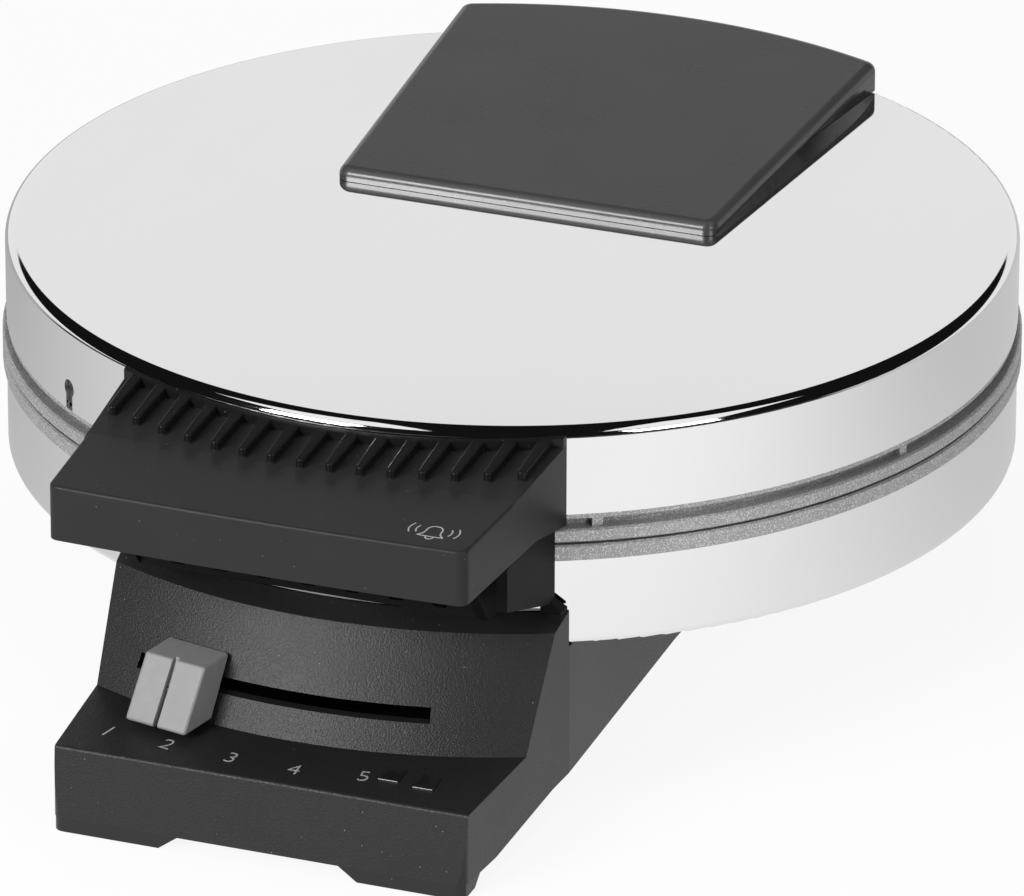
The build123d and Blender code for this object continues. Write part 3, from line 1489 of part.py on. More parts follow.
with BuildPart() as grip_base:
    with BuildSketch(across(-fin_half)):
        with BuildLine():
            Polyline(
                (-skirt_lip_reach, floor_top), (-skirt_lip_reach, skirt_lip_height),
                (-skirt_rear_reach, skirt_rear_height), (-skirt_rear_reach, floor_top), close=True,
            )
        make_face()
    extrude(amount=2 * fin_half)
    with BuildSketch(across(-fin_half + skirt_wall)):
        with BuildLine():
            Polyline(
                (-skirt_lip_reach + skirt_wall, floor_top),
                (-skirt_lip_reach + skirt_wall, skirt_rear_height - 1),
                (-skirt_rear_reach + 1, skirt_rear_height - 1),
                (-skirt_rear_reach + 1, floor_top), close=True,
            )
        make_face()
    extrude(amount=2 * (fin_half - skirt_wall), mode=Mode.SUBTRACT)
    # fins at both ends of the lip
    for place in (-fin_half, fin_half - skirt_wall):
        with BuildSketch(across(place)):
            with BuildLine():
                Polyline(
                    (-skirt_front, floor_top), (-skirt_front, fin_height),
                    (-skirt_lip_reach, skirt_lip_height),
                    (-skirt_lip_reach + skirt_wall, skirt_lip_height),
                    (-skirt_lip_reach + skirt_wall, floor_top), close=True,
                )
            make_face()
        extrude(amount=skirt_wall)
    # side walls, and low flares beside the base's ledge
    for place in (-skirt_half, skirt_half - skirt_wall):
        with BuildSketch(across(place)):
            with BuildLine():
                Polyline(
                    (-skirt_front, floor_top), (-skirt_front, skirt_side_height),
                    (-skirt_side_rear, skirt_side_rear_height),
                    (-skirt_rear_reach, skirt_rear_height), (-skirt_rear_reach, floor_top),
                    close=True,
                )
            make_face()
        extrude(amount=skirt_wall)
    with BuildSketch(Plane((0, axis_y - flare_end, skirt_rear_height), x_dir=(1, 0, 0),
                           z_dir=(0, -1, 0))):
        for hand in (1, -1):
            with BuildLine():
                Polyline(
                    (hand * (skirt_half - skirt_wall), flare_height + flare_edge),
                    (hand * skirt_half, flare_height + flare_edge),
                    (hand * (skirt_half + flare_width), flare_edge),
                    (hand * (skirt_half + flare_width), 0),
                    (hand * (skirt_half - skirt_wall), 0), close=True,
                )
            make_face()
    extrude(amount=flare_start - flare_end)
    add(grip_clear, mode=Mode.SUBTRACT)
    with BuildSketch(level(0)):
        Circle(skirt_radius)
    extrude(amount=floor_top, mode=Mode.SUBTRACT)
    add(floor_plate.part)
    # vents through the front lip
    with BuildSketch(outward(0).offset(skirt_lip_reach - 2 * skirt_wall)):
        for count in range(notch_count):
            place = (count - notch_count // 2) * notch_pitch
            with Locations((place, skirt_lip_height + notch_sill + notch_height / 2)):
                Trapezoid(notch_width, notch_height, notch_side_angle)
    extrude(amount=3 * skirt_wall, mode=Mode.SUBTRACT)
    # holes for the two screws into the grip
    with BuildSketch(level(floor_under - 1)):
        with Locations((grip_screw_spread, -grip_screw_reach),
                       (-grip_screw_spread, -grip_screw_reach)):
            Circle(screw_radius + seat_gap)
    extrude(amount=floor_top - floor_under + 2, mode=Mode.SUBTRACT)
save(grip_base, "grip_base")

with BuildPart() as grip_screws:
    with BuildSketch(level(floor_under - seat_gap - screw_head_height)):
        with Locations((grip_screw_spread, -grip_screw_reach),
                       (-grip_screw_spread, -grip_screw_reach)):
            Circle(screw_head_radius)
    extrude(amount=screw_head_height)
    with BuildSketch(level(floor_under - seat_gap)):
        with Locations((grip_screw_spread, -grip_screw_reach),
                       (-grip_screw_spread, -grip_screw_reach)):
            Circle(screw_radius)
    extrude(amount=bracket_foot + bracket_sheet + grip_screw_hold - slope_room - floor_under)
save(grip_screws, "grip_screws")
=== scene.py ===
# %% [markdown]
# # A heart waffle maker, dressed in Blender
# The solid pieces come from the CAD model and stand at their real sizes, in metres.
# Here they get their finishes, the small printed marks, the camera and the light.
# The model is loaded first.

# %% Load the frame
import json
import math

import bpy
from mathutils import Matrix, Vector


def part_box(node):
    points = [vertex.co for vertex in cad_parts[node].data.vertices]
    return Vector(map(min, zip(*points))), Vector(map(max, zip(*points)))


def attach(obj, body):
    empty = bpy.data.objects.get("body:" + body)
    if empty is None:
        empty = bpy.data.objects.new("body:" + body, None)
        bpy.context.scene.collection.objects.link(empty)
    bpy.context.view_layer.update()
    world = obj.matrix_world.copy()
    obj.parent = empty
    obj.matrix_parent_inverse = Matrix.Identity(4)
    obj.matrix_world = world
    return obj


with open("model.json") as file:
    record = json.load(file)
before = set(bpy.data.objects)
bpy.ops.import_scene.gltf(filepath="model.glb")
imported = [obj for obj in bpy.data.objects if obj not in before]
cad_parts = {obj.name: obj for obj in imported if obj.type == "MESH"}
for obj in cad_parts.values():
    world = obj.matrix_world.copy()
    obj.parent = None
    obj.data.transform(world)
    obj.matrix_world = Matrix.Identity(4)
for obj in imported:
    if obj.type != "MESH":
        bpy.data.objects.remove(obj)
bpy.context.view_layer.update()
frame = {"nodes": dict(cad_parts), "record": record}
nodes = frame["nodes"]
MM = 0.001
print("pieces from the CAD model:", len(nodes))

# %% [markdown]
# ## The camera
# The picture was taken with a long lens from the front, a little to the right and above.
# A long lens far away keeps the round lid's ellipses nearly parallel. The camera is placed
# on a sphere round the lid's centre by two angles and a distance, because these three
# numbers are easy to read and to correct, and it is then aimed a little below that centre.

# %% Camera
lid_low, lid_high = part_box("upper_shell")
lid_centre = Vector(((lid_low[0] + lid_high[0]) / 2, (lid_low[1] + lid_high[1]) / 2, lid_high[2]))
AZIMUTH, ELEVATION, ROLL = math.radians(20.8), math.radians(23.363), math.radians(0.13)
DISTANCE = 2.6
AIM_BELOW = 51.6 * MM
LENS_MM, SENSOR_MM = 402.5, 36
FARTHEST = 100
toward = Vector((math.sin(AZIMUTH) * math.cos(ELEVATION),
                 -math.cos(AZIMUTH) * math.cos(ELEVATION), math.sin(ELEVATION)))
side = Vector((math.cos(AZIMUTH), math.sin(AZIMUTH), 0))
camera = bpy.data.objects.new("camera", bpy.data.cameras.new("camera"))
bpy.context.scene.collection.objects.link(camera)
camera.location = lid_centre + DISTANCE * toward
aim = lid_centre - AIM_BELOW * toward.cross(side)
facing = (aim - camera.location).to_track_quat("-Z", "Y").to_matrix()
camera.rotation_euler = (facing @ Matrix.Rotation(ROLL, 3, "Z")).to_euler()
camera.data.lens = LENS_MM
camera.data.sensor_width = SENSOR_MM
camera.data.clip_end = FARTHEST
bpy.context.scene.camera = camera
bpy.context.scene.view_settings.view_transform = "Standard"
print("camera at", [round(v, 3) for v in camera.location])

# %% [markdown]
# ## Writing shaders as sums
# A finish is a small graph of nodes. Wiring each node by hand hides what it computes, so
# one class wraps a node's output and lets plain sums be written with it. A second class
# holds the tree and makes every other node through a single method.

# %% Shader helpers
class Value:
    """A node's output, with the operators that a finish uses."""

    def __init__(self, tree, socket):
        self.tree, self.socket = tree, socket

    def math(self, operation, first, second):
        return self.tree.node("Math", {"operation": operation}, {0: first, 1: second})

    def __add__(self, other):
        return self.math("ADD", self, other)

    def __mul__(self, other):
        return self.math("MULTIPLY", self, other)

    def __sub__(self, other):
        return self.math("SUBTRACT", self, other)

    def __rsub__(self, other):
        return self.math("SUBTRACT", other, self)

    def __gt__(self, other):
        return self.math("GREATER_THAN", self, other)

    def __lt__(self, other):
        return self.math("LESS_THAN", self, other)

    def at_least(self, other):
        return self.math("MAXIMUM", self, other)

    __radd__, __rmul__ = __add__, __mul__


class Tree:
    """The node tree of a material or of the world."""

    def __init__(self, owner):
        owner.use_nodes = True
        self.nodes, self.links = owner.node_tree.nodes, owner.node_tree.links
        self.nodes.clear()

    def node(self, kind, settings=None, inputs=None, output=0):
        """One node by its type, with its settings set before its inputs are filled."""
        made = self.nodes.new("ShaderNode" + kind)
        for name, value in (settings or {}).items():
            setattr(made, name, value)
        for key, value in (inputs or {}).items():
            if isinstance(value, Value):
                self.links.new(value.socket, made.inputs[key])
            else:
                made.inputs[key].default_value = value
        return Value(self, made.outputs[output]) if made.outputs else None


def grey(level):
    """A neutral colour of this level."""
    return (level, level, level, 1)


print("shader helpers ready")

# %% [markdown]
# ## The places that patterns are measured from
# Grain on moulded plastic and specks in a cast coating have a size in millimetres. Object
# coordinates are in metres here, so a pattern's scale is simply how many of its cells fit
# in a metre, and it stays the same on every piece.

# %% Pattern helpers
NOISE_ROUGHNESS = 0.55
SPECK_PICKING = 1.7


def cells(size_mm):
    """The pattern scale that gives cells of this size."""
    return 1 / (size_mm * MM)


def place(tree):
    """The point on the surface, in the piece's own frame."""
    return tree.node("TexCoord", output="Object")


def coordinate(tree, vector, axis):
    """One coordinate of a vector."""
    return tree.node("SeparateXYZ", {}, {0: vector}, output=axis)


def noise(tree, size_mm, detail=2.0, stretch=None):
    """Soft cloudy pattern from 0 to 1 with this cell size."""
    where = place(tree)
    if stretch:
        where = tree.node("VectorMath", {"operation": "MULTIPLY"}, {0: where, 1: stretch})
    return tree.node("TexNoise", {}, {"Vector": where, "Scale": cells(size_mm),
                                      "Detail": detail, "Roughness": NOISE_ROUGHNESS})


def specks(tree, size_mm, share, kept=0.52):
    """1 in small scattered dots and 0 elsewhere: share sets their size, kept how few stay."""
    near = tree.node("TexVoronoi", {}, {"Vector": place(tree), "Scale": cells(size_mm)})
    pick = tree.node("TexNoise", {}, {"Vector": place(tree),
                                      "Scale": cells(size_mm * SPECK_PICKING)})
    return (near < share) * (pick > kept)


def band(value, low, high):
    """1 where the value lies between low and high, and 0 elsewhere."""
    return (value > low) * (value < high)


def fade(tree, value, start, end, before, after, kind="SMOOTHSTEP"):
    """A level that goes from one to another while the value goes from start to end."""
    return tree.node("MapRange", {"interpolation_type": kind},
                     {"Value": value, "From Min": start, "From Max": end,
                      "To Min": before, "To Max": after})


def blend(tree, factor, first, second):
    """Mix of two colours."""
    return tree.node("Mix", {"data_type": "RGBA"}, {0: factor, 6: first, 7: second}, output=2)


def bump(tree, height, strength, distance_mm, over=None):
    """Normal that follows a height pattern, over the mesh's own direction or another."""
    sockets = {"Height": height, "Strength": strength, "Distance": distance_mm * MM}
    if over:
        sockets["Normal"] = over
    return tree.node("Bump", {}, sockets)


materials = {}


def finish(name, make):
    """New material; make(tree) returns the inputs of its shader."""
    material = bpy.data.materials.new(name)
    tree = Tree(material)
    shader = tree.node("BsdfPrincipled", {}, make(tree), output="BSDF")
    tree.node("OutputMaterial", {}, {"Surface": shader})
    materials[name] = material


print("pattern helpers ready")

# %% [markdown]
# ## Polished sheet
# Both cups of the body are pressed from thin sheet and plated to a mirror. A mirror shows
# every flat facet of a mesh, so the surface direction is worked out from the form itself:
# a wall, a round edge and a flat disc, all turned about one upright axis. That direction
# takes the place of the mesh's own wherever the two nearly agree. A real mirror also has
# faint wipe marks, which show only in the reflections.

# %% Form of the cups
cup_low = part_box("lower_shell")[0]
SHELL_RADIUS = (lid_high[0] - lid_low[0]) / 2
TOP_ROUNDING, BOTTOM_ROUNDING = 2.5 * MM, 2.0 * MM
NEARLY_AGREE = 0.6


def turned_normal(tree, edge_height, rounding, upward):
    """Direction of a turned cup's outside: its wall, its round edge and its flat end."""
    here = tree.node("VectorMath", {"operation": "SUBTRACT"},
                     {0: place(tree), 1: (0, lid_centre.y, 0)})
    flat = tree.node("VectorMath", {"operation": "MULTIPLY"}, {0: here, 1: (1, 1, 0)})
    radius = tree.node("VectorMath", {"operation": "LENGTH"}, {0: flat}, output="Value")
    outward = tree.node("VectorMath", {"operation": "NORMALIZE"}, {0: flat})
    height = coordinate(tree, here, "Z")
    reach = (radius - (SHELL_RADIUS - rounding)).at_least(0)
    rise = ((height - (edge_height - upward * rounding)) * upward).at_least(0) * upward
    lift = tree.node("CombineXYZ", {}, {"Z": rise})
    across = tree.node("VectorMath", {"operation": "SCALE"}, {0: outward, "Scale": reach})
    both = tree.node("VectorMath", {"operation": "ADD"}, {0: across, 1: lift})
    ideal = tree.node("VectorMath", {"operation": "NORMALIZE"}, {0: both})
    ideal = tree.node("VectorTransform", {"vector_type": "NORMAL", "convert_from": "OBJECT",
                                          "convert_to": "WORLD"}, {0: ideal})
    meshed = tree.node("NewGeometry", output="Normal")
    match = tree.node("VectorMath", {"operation": "DOT_PRODUCT"}, {0: ideal, 1: meshed},
                      output="Value")
    return tree.node("Mix", {"data_type": "VECTOR"},
                     {0: match > NEARLY_AGREE, 4: meshed, 5: ideal}, output=1)


print("shell radius", round(SHELL_RADIUS / MM, 1), "mm")

# %% Polished sheet
def polished_sheet(edge_height, rounding, upward):
    """Recipe for a mirror-bright cup whose flat end is at this height."""
    def recipe(tree):
        wipes = noise(tree, 40, 3.0, (1.0, 0.35, 1.0))
        smooth = turned_normal(tree, edge_height, rounding, upward)
        return {
            "Base Color": blend(tree, wipes, (0.84, 0.84, 0.85, 1), (0.88, 0.88, 0.885, 1)),
            "Metallic": 1.0,
            "Roughness": wipes * 0.03 + 0.03,
            "Normal": bump(tree, noise(tree, 60, 1.0), 0.04, 0.02, smooth),
        }
    return recipe


finish("lid_sheet", polished_sheet(lid_high[2], TOP_ROUNDING, 1))
finish("cup_sheet", polished_sheet(cup_low[2], BOTTOM_ROUNDING, -1))
print("finishes:", len(materials))

# %% [markdown]
# ## Coated cast plates
# The baking plates are cast and then coated grey. Their rims sparkle, because the coating
# is full of fine bright flakes. Small bright dots over a cloudy grey give that, and a
# shallow bump breaks up the highlight.

# %% Coated plates
def cast_plate(tree):
    cloud = noise(tree, 4, 3.0)
    fine = noise(tree, 0.45, 3.0)
    flakes = specks(tree, 0.24, 0.42, 0.50)
    ground = blend(tree, cloud, grey(0.34), grey(0.46))
    return {
        "Base Color": blend(tree, flakes, ground, grey(0.85)),
        "Metallic": 0.75,
        "Roughness": 0.48 - flakes * 0.16,
        "Normal": bump(tree, fine, 0.8, 0.16),
    }


finish("cast_plate", cast_plate)
print("finishes:", len(materials))

# %% [markdown]
# ## Black moulded plastic
# The foot is moulded in a tool with an eroded surface, which leaves a pebbled grain about
# half a millimetre across. The skirt, the feet and the cover have a much finer grain and
# look almost smooth. One function makes them all, from the plastic's shade, the grain's size
# and depth, the gloss and the dust on it. Faint patches keep each from looking too even.

# %% Black plastics
PATCH_MM = 25
DUST_SPACING_MM, DUST_SHARE, DUST_SHADE = 2.2, 0.045, grey(0.45)
GRAIN_HEIGHT_MM = 0.12


def black_plastic(shade, grain_mm, grain_depth, gloss, dust, shine=0.5):
    """Recipe for black moulded plastic; dust is how many pale specks it carries."""
    def recipe(tree):
        pebbles = noise(tree, grain_mm, 3.0)
        patches = noise(tree, PATCH_MM, 3.0)
        pale = specks(tree, DUST_SPACING_MM, DUST_SHARE) * dust
        ground = blend(tree, patches, grey(shade * 0.88), grey(shade * 1.12))
        return {
            "Base Color": blend(tree, pale, ground, DUST_SHADE),
            "Roughness": gloss + patches * 0.08,
            "Specular IOR Level": shine,
            "Normal": bump(tree, pebbles, grain_depth, GRAIN_HEIGHT_MM),
        }
    return recipe


finish("base_plastic", black_plastic(shade=0.016, grain_mm=0.42, grain_depth=1.0,
                                     gloss=0.34, dust=0.7, shine=0.30))
finish("foot_plastic", black_plastic(shade=0.018, grain_mm=0.30, grain_depth=0.12,
                                     gloss=0.36, dust=0.7, shine=0.27))
# The skirt's very dark colour is painted shade from the grip above it.
finish("skirt_painted_shade_plastic", black_plastic(shade=0.006, grain_mm=0.30, grain_depth=0.10,
                                      gloss=0.48, dust=0.3, shine=0.06))
finish("cover_plastic", black_plastic(shade=0.046, grain_mm=0.30, grain_depth=0.08,
                                      gloss=0.24, dust=0.4))
finish("hidden_plastic", black_plastic(shade=0.014, grain_mm=0.60, grain_depth=0.30,
                                       gloss=0.45, dust=0.0))
print("finishes:", len(materials))

# %% [markdown]
# ## The grip's plastic
# The grip is the same black plastic, satin on its broad top. The cooling ribs are rubbed
# smooth by hands and shine more, and their colour is darkened as painted shade. They stand
# above a floor that rises towards the lid, so the height above that floor tells the two apart.

# %% Grip plastic
RIB_FRONT = -131.7 * MM
RIB_FLOOR_DROP = 6.4 * MM
RIB_FLOOR_SLOPE = 0.0875
RIB_FOOT = 0.5 * MM
GRIP_DUST = 0.5
# Painted shade: the ribs' colour is darker than the broad top of the same plastic.
RIB_PAINTED_SHADE = grey(0.009)


def grip_plastic(tree):
    patches = noise(tree, PATCH_MM, 3.0)
    here = tree.node("VectorMath", {"operation": "SUBTRACT"},
                     {0: place(tree), 1: (0, lid_centre.y + RIB_FRONT,
                                          lid_high[2] - RIB_FLOOR_DROP)})
    back = coordinate(tree, here, "Y")
    height = coordinate(tree, here, "Z")
    ribs = (height - back * RIB_FLOOR_SLOPE > RIB_FOOT) * (back > 0)
    pale = specks(tree, DUST_SPACING_MM, DUST_SHARE) * GRIP_DUST
    broad = blend(tree, patches, grey(0.017), grey(0.024))
    # Painted shade: the ribs get the darker colour.
    ground = blend(tree, ribs, broad, RIB_PAINTED_SHADE)
    return {
        "Base Color": blend(tree, pale, ground, DUST_SHADE),
        "Roughness": 0.38 + patches * 0.08 - ribs * 0.17,
        "Specular IOR Level": 0.17,
        "Normal": bump(tree, noise(tree, 0.3, 2.0), 0.10, GRAIN_HEIGHT_MM),
    }


finish("grip_plastic", grip_plastic)
print("finishes:", len(materials))

# %% [markdown]
# ## Grey slider knob
# The knob is moulded in a lighter grey so that it is found at once. Its colour is slightly
# mottled and its surface silky.

# %% Grey plastic
def grey_plastic(tree):
    mottle = noise(tree, 2.2, 4.0)
    return {
        "Base Color": blend(tree, mottle, grey(0.21), grey(0.27)),
        "Roughness": 0.42 + mottle * 0.1,
        "Normal": bump(tree, noise(tree, 0.35, 2.0), 0.15, 0.08),
    }


finish("grey_plastic", grey_plastic)
print("finishes:", len(materials))

# %% [markdown]
# ## Metals and small inner pieces
# Screws, bolts, clamps and reflectors are seen only from below or when the model is taken
# apart, yet each is a real metal. They share one recipe: a tint, a streaky brushing along
# one direction and a little staining. Plastics and ceramics of the wiring share another.

# %% Inner finishes
def metal(tint, rough, streak):
    """Recipe for a metal with streaks of this size along one direction."""
    def recipe(tree):
        brushing = noise(tree, streak, 3.0, (1.0, 0.12, 1.0))
        darker = tuple(0.8 * part for part in tint[:3]) + (1,)
        return {
            "Base Color": blend(tree, brushing, darker, tint),
            "Metallic": 1.0,
            "Roughness": rough + brushing * 0.15,
            "Normal": bump(tree, brushing, 0.15, 0.03),
        }
    return recipe


def inner(tint, rough, metallic=0.0):
    """Recipe for plain wiring pieces with a faint mottle."""
    def recipe(tree):
        mottle = noise(tree, 1.5, 3.0)
        darker = tuple(0.82 * part for part in tint[:3]) + (1,)
        return {
            "Base Color": blend(tree, mottle, darker, tint),
            "Metallic": metallic,
            "Roughness": rough + mottle * 0.1,
            "Normal": bump(tree, noise(tree, 0.4, 2.0), 0.2, 0.05),
        }
    return recipe


finish("zinc_steel", metal((0.62, 0.63, 0.65, 1), rough=0.28, streak=1.5))
finish("bright_sheet", metal((0.80, 0.80, 0.82, 1), rough=0.2, streak=4.0))
finish("element_sheath", metal((0.22, 0.21, 0.20, 1), rough=0.45, streak=2.0))
finish("brass_bush", metal((0.72, 0.56, 0.28, 1), rough=0.25, streak=1.5))
finish("black_paint", inner((0.03, 0.03, 0.03, 1), rough=0.35))
finish("phenolic", inner((0.70, 0.66, 0.55, 1), rough=0.5))
finish("fuse_can", inner((0.70, 0.70, 0.70, 1), rough=0.3, metallic=1.0))
finish("board", inner((0.03, 0.16, 0.06, 1), rough=0.4))
finish("sounder_case", inner((0.02, 0.02, 0.02, 1), rough=0.4))
finish("lead_sleeve", inner((0.62, 0.58, 0.48, 1), rough=0.8))
finish("rubber", inner((0.035, 0.035, 0.035, 1), rough=0.55))
finish("lamp_red", inner((0.55, 0.04, 0.02, 1), rough=0.15))
finish("lamp_green", inner((0.05, 0.45, 0.08, 1), rough=0.15))
print("finishes:", len(materials))

# %% [markdown]
# ## Smoked lamp windows and printed marks
# The two windows beside the scale are dark clear plastic, nearly flush with the step. They
# read as glossy black with a faint grain. The marks are printed in pale grey ink, which is
# thin and slightly uneven.

# %% Windows and ink
def smoked_window(tree):
    film = noise(tree, 1.0, 3.0)
    return {
        "Base Color": blend(tree, film, grey(0.008), grey(0.02)),
        "Roughness": 0.08 + film * 0.1,
        "Coat Weight": 0.5,
        "Normal": bump(tree, noise(tree, 0.8, 1.0), 0.1, 0.05),
    }


def pale_ink(tree):
    wear = noise(tree, 0.5, 3.0)
    return {
        "Base Color": blend(tree, wear, grey(0.26), grey(0.40)),
        "Roughness": 0.5 + wear * 0.1,
    }


finish("lens", smoked_window)
finish("pale_ink", pale_ink)
print("finishes:", len(materials))

# %% [markdown]
# ## Giving each piece its finish
# The record names a material slot for each piece. Most finishes here have the slot's name.
# The black plastic slot is split in six, because the base, its feet, the grip, its skirt, the
# cover and the hidden pieces differ; the skirt's very dark colour is painted shade under the
# grip.
# Each polished cup has its own form in its finish. The spring clip behind the keyhole is given
# black paint as painted shade, so that the keyhole looks dark inside.

# %% Dress the pieces
by_piece = {
    "base_housing": "base_plastic", "front_feet": "foot_plastic",
    "grip": "grip_plastic", "grip_base": "skirt_painted_shade_plastic",
    "rear_cover": "cover_plastic",
    "base_cover": "hidden_plastic", "cord_gland": "hidden_plastic",
    # Painted shade: black paint on the clip makes the keyhole dark inside.
    "shell_clip": "black_paint",
    "upper_shell": "lid_sheet", "lower_shell": "cup_sheet",
}
slot_of = {part["node"]: part["material_slot"] for part in frame["record"]["subparts"]}
for name, piece in nodes.items():
    chosen = materials[by_piece.get(name, slot_of[name])]
    piece.data.materials.clear()
    piece.data.materials.append(chosen)
print("dressed", len(nodes), "pieces")

# %% [markdown]
# ## Soft edges
# Moulded plastic never has a knife edge. A narrow bevel on each sharp edge of the black
# pieces catches a thin line of light, which is what makes the edges read in the picture.
# A modifier does it without touching the mesh.

# %% Bevels
EDGE_SEGMENTS = 2
SHARP_EDGE = math.radians(35)
edge_widths = {
    "base_housing": 0.5, "front_feet": 0.5, "grip_base": 0.3, "slider_lever": 0.2,
}
for name, width in edge_widths.items():
    bevel = nodes[name].modifiers.new("soft_edges", "BEVEL")
    bevel.width = width * MM
    bevel.segments = EDGE_SEGMENTS
    bevel.limit_method = "ANGLE"
    bevel.angle_limit = SHARP_EDGE
    bevel.harden_normals = False
print("bevelled", len(edge_widths), "pieces")

# %% [markdown]
# ## The scale's numbers
# The slider's scale is printed on the step as the plain numbers 1 to 5, each turned to face
# away from the lid's centre. Text objects are turned into thin meshes, so that the numbers
# are geometry and ride with the base like everything else.

# %% Numbers
axis_place = Vector((0, lid_centre.y, 0))
STEP_FRONT = (-154.2, 19.7)
STEP_REAR = (-105.0, 21.6)
INK_THICKNESS = 0.06 * MM
DIGIT_SIZE = 6.4 * MM
INK_THINNING = 0.09 * MM


def step_height(y_mm):
    """Height of the step's top at a place in front of the axis."""
    share = (y_mm - STEP_FRONT[0]) / (STEP_REAR[0] - STEP_FRONT[0])
    return (STEP_FRONT[1] + share * (STEP_REAR[1] - STEP_FRONT[1])) * MM


def on_body(piece, body, finish_name):
    """Dress a new piece and make it ride."""
    piece.data.materials.clear()
    piece.data.materials.append(materials[finish_name])
    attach(piece, body)


def mesh_from(curve_object, name):
    """A mesh object made from a text or curve object, which is then removed."""
    bpy.context.view_layer.update()
    evaluated = curve_object.evaluated_get(bpy.context.evaluated_depsgraph_get())
    mesh = bpy.data.meshes.new_from_object(evaluated)
    mesh.transform(curve_object.matrix_world)
    made = bpy.data.objects.new(name, mesh)
    bpy.context.scene.collection.objects.link(made)
    bpy.data.objects.remove(curve_object)
    return made


digit_places = (("1", -40.1, -144.4), ("2", -25.5, -145.8), ("3", -9.9, -146.8),
                ("4", 5.2, -147.3), ("5", 20.7, -145.1))
step_slope = math.atan((STEP_REAR[1] - STEP_FRONT[1]) / (STEP_REAR[0] - STEP_FRONT[0]))
for digit, x, y in digit_places:
    text = bpy.data.curves.new("digit", "FONT")
    text.body, text.size, text.extrude = digit, DIGIT_SIZE, INK_THICKNESS
    text.offset = -INK_THINNING
    text.align_x, text.align_y = "CENTER", "CENTER"
    text.resolution_u = 6
    holder = bpy.data.objects.new("digit", text)
    bpy.context.scene.collection.objects.link(holder)
    holder.location = axis_place + Vector((x * MM, y * MM, step_height(y)))
    holder.rotation_euler = (step_slope, 0, math.atan2(x, -y))
    on_body(mesh_from(holder, f"scale_number_{digit}"), "base", "pale_ink")
print("numbers printed:", len(digit_places))

# %% [markdown]
# ## The bell on the grip
# A small outline of a bell tells that the appliance signals when it is ready. It is drawn
# as thin tubes along a few smooth curves, and then flattened into ink that lies on the grip.

# %% Bell
BELL_PLACE = (38.6, -149.2)
BELL_SIZE = 2.9 * MM
INK_WIDTH = 0.20 * MM
INK_FLATNESS = 0.2
GRIP_FRONT_REACH = 157.2
GRIP_FRONT_DROP = 7.1 * MM
GRIP_SLOPE = 0.0329


def grip_height(y_mm):
    """Height of the grip's top at a place in front of the axis."""
    return lid_high[2] - GRIP_FRONT_DROP + GRIP_SLOPE * (GRIP_FRONT_REACH + y_mm) * MM


def ink_drawing(strokes):
    """One curve object with a smooth stroke through each list of points."""
    curve = bpy.data.curves.new("ink", "CURVE")
    curve.dimensions = "3D"
    curve.bevel_depth = INK_WIDTH
    curve.bevel_resolution = 1
    for points in strokes:
        spline = curve.splines.new("NURBS")
        spline.points.add(len(points) - 1)
        for point, (u, v) in zip(spline.points, points):
            point.co = (u * BELL_SIZE, v * BELL_SIZE, 0, 1)
        spline.order_u = 3
        spline.use_endpoint_u = True
    holder = bpy.data.objects.new("ink", curve)
    bpy.context.scene.collection.objects.link(holder)
    return holder


bell_strokes = (
    # shoulders and sides, rim, clapper
    ((-1.05, -0.7), (-0.62, -0.4), (-0.62, 0.5), (-0.35, 0.95), (0.35, 0.95), (0.62, 0.5),
     (0.62, -0.4), (1.05, -0.7)),
    ((-1.05, -0.7), (0, -0.78), (1.05, -0.7)),
    ((-0.3, -0.8), (-0.28, -1.15), (0.28, -1.15), (0.3, -0.8)),
    # two arcs of sound on each side
    ((-1.25, 0.75), (-1.55, 0.2), (-1.25, -0.3)),
    ((-1.75, 1.0), (-2.2, 0.2), (-1.75, -0.5)),
    ((1.25, 0.75), (1.55, 0.2), (1.25, -0.3)),
    ((1.75, 1.0), (2.2, 0.2), (1.75, -0.5)),
)
bell = ink_drawing(bell_strokes)
bell.location = axis_place + Vector((BELL_PLACE[0] * MM, BELL_PLACE[1] * MM,
                                     grip_height(BELL_PLACE[1])))
bell.rotation_euler = (math.atan(GRIP_SLOPE), 0, 0)
bell.scale = (1, 1, INK_FLATNESS)
on_body(mesh_from(bell, "bell_mark"), "lid", "pale_ink")
print("bell strokes:", len(bell_strokes))

# %% [markdown]
# ## The floor
# The object stands on a plain pale floor. Seen by the camera it is nearly white, so part of
# what the camera sees is plain brightness, and the rest is real light with the shadow in it.
# The polished walls reflect this floor, but in reflections it is a glow, which is painted light:
# a pale sweep that is brightest just in front of the object, ends a little further out and is
# dimmed on the left as painted shade.

# %% Floor
FLOOR_SIZE = 30
FLOOR_LEVEL = -0.2 * MM
SWEEP = {"start": -0.22, "end": 0.16, "before": 0.99, "after": 0.60}
SWEEP_EDGE = {"start": 0.42, "end": 0.60, "before": 1.0, "after": 0.06}
SWEEP_FRONT = {"start": 0.0, "end": 0.1, "before": 0.0, "after": 1.0}
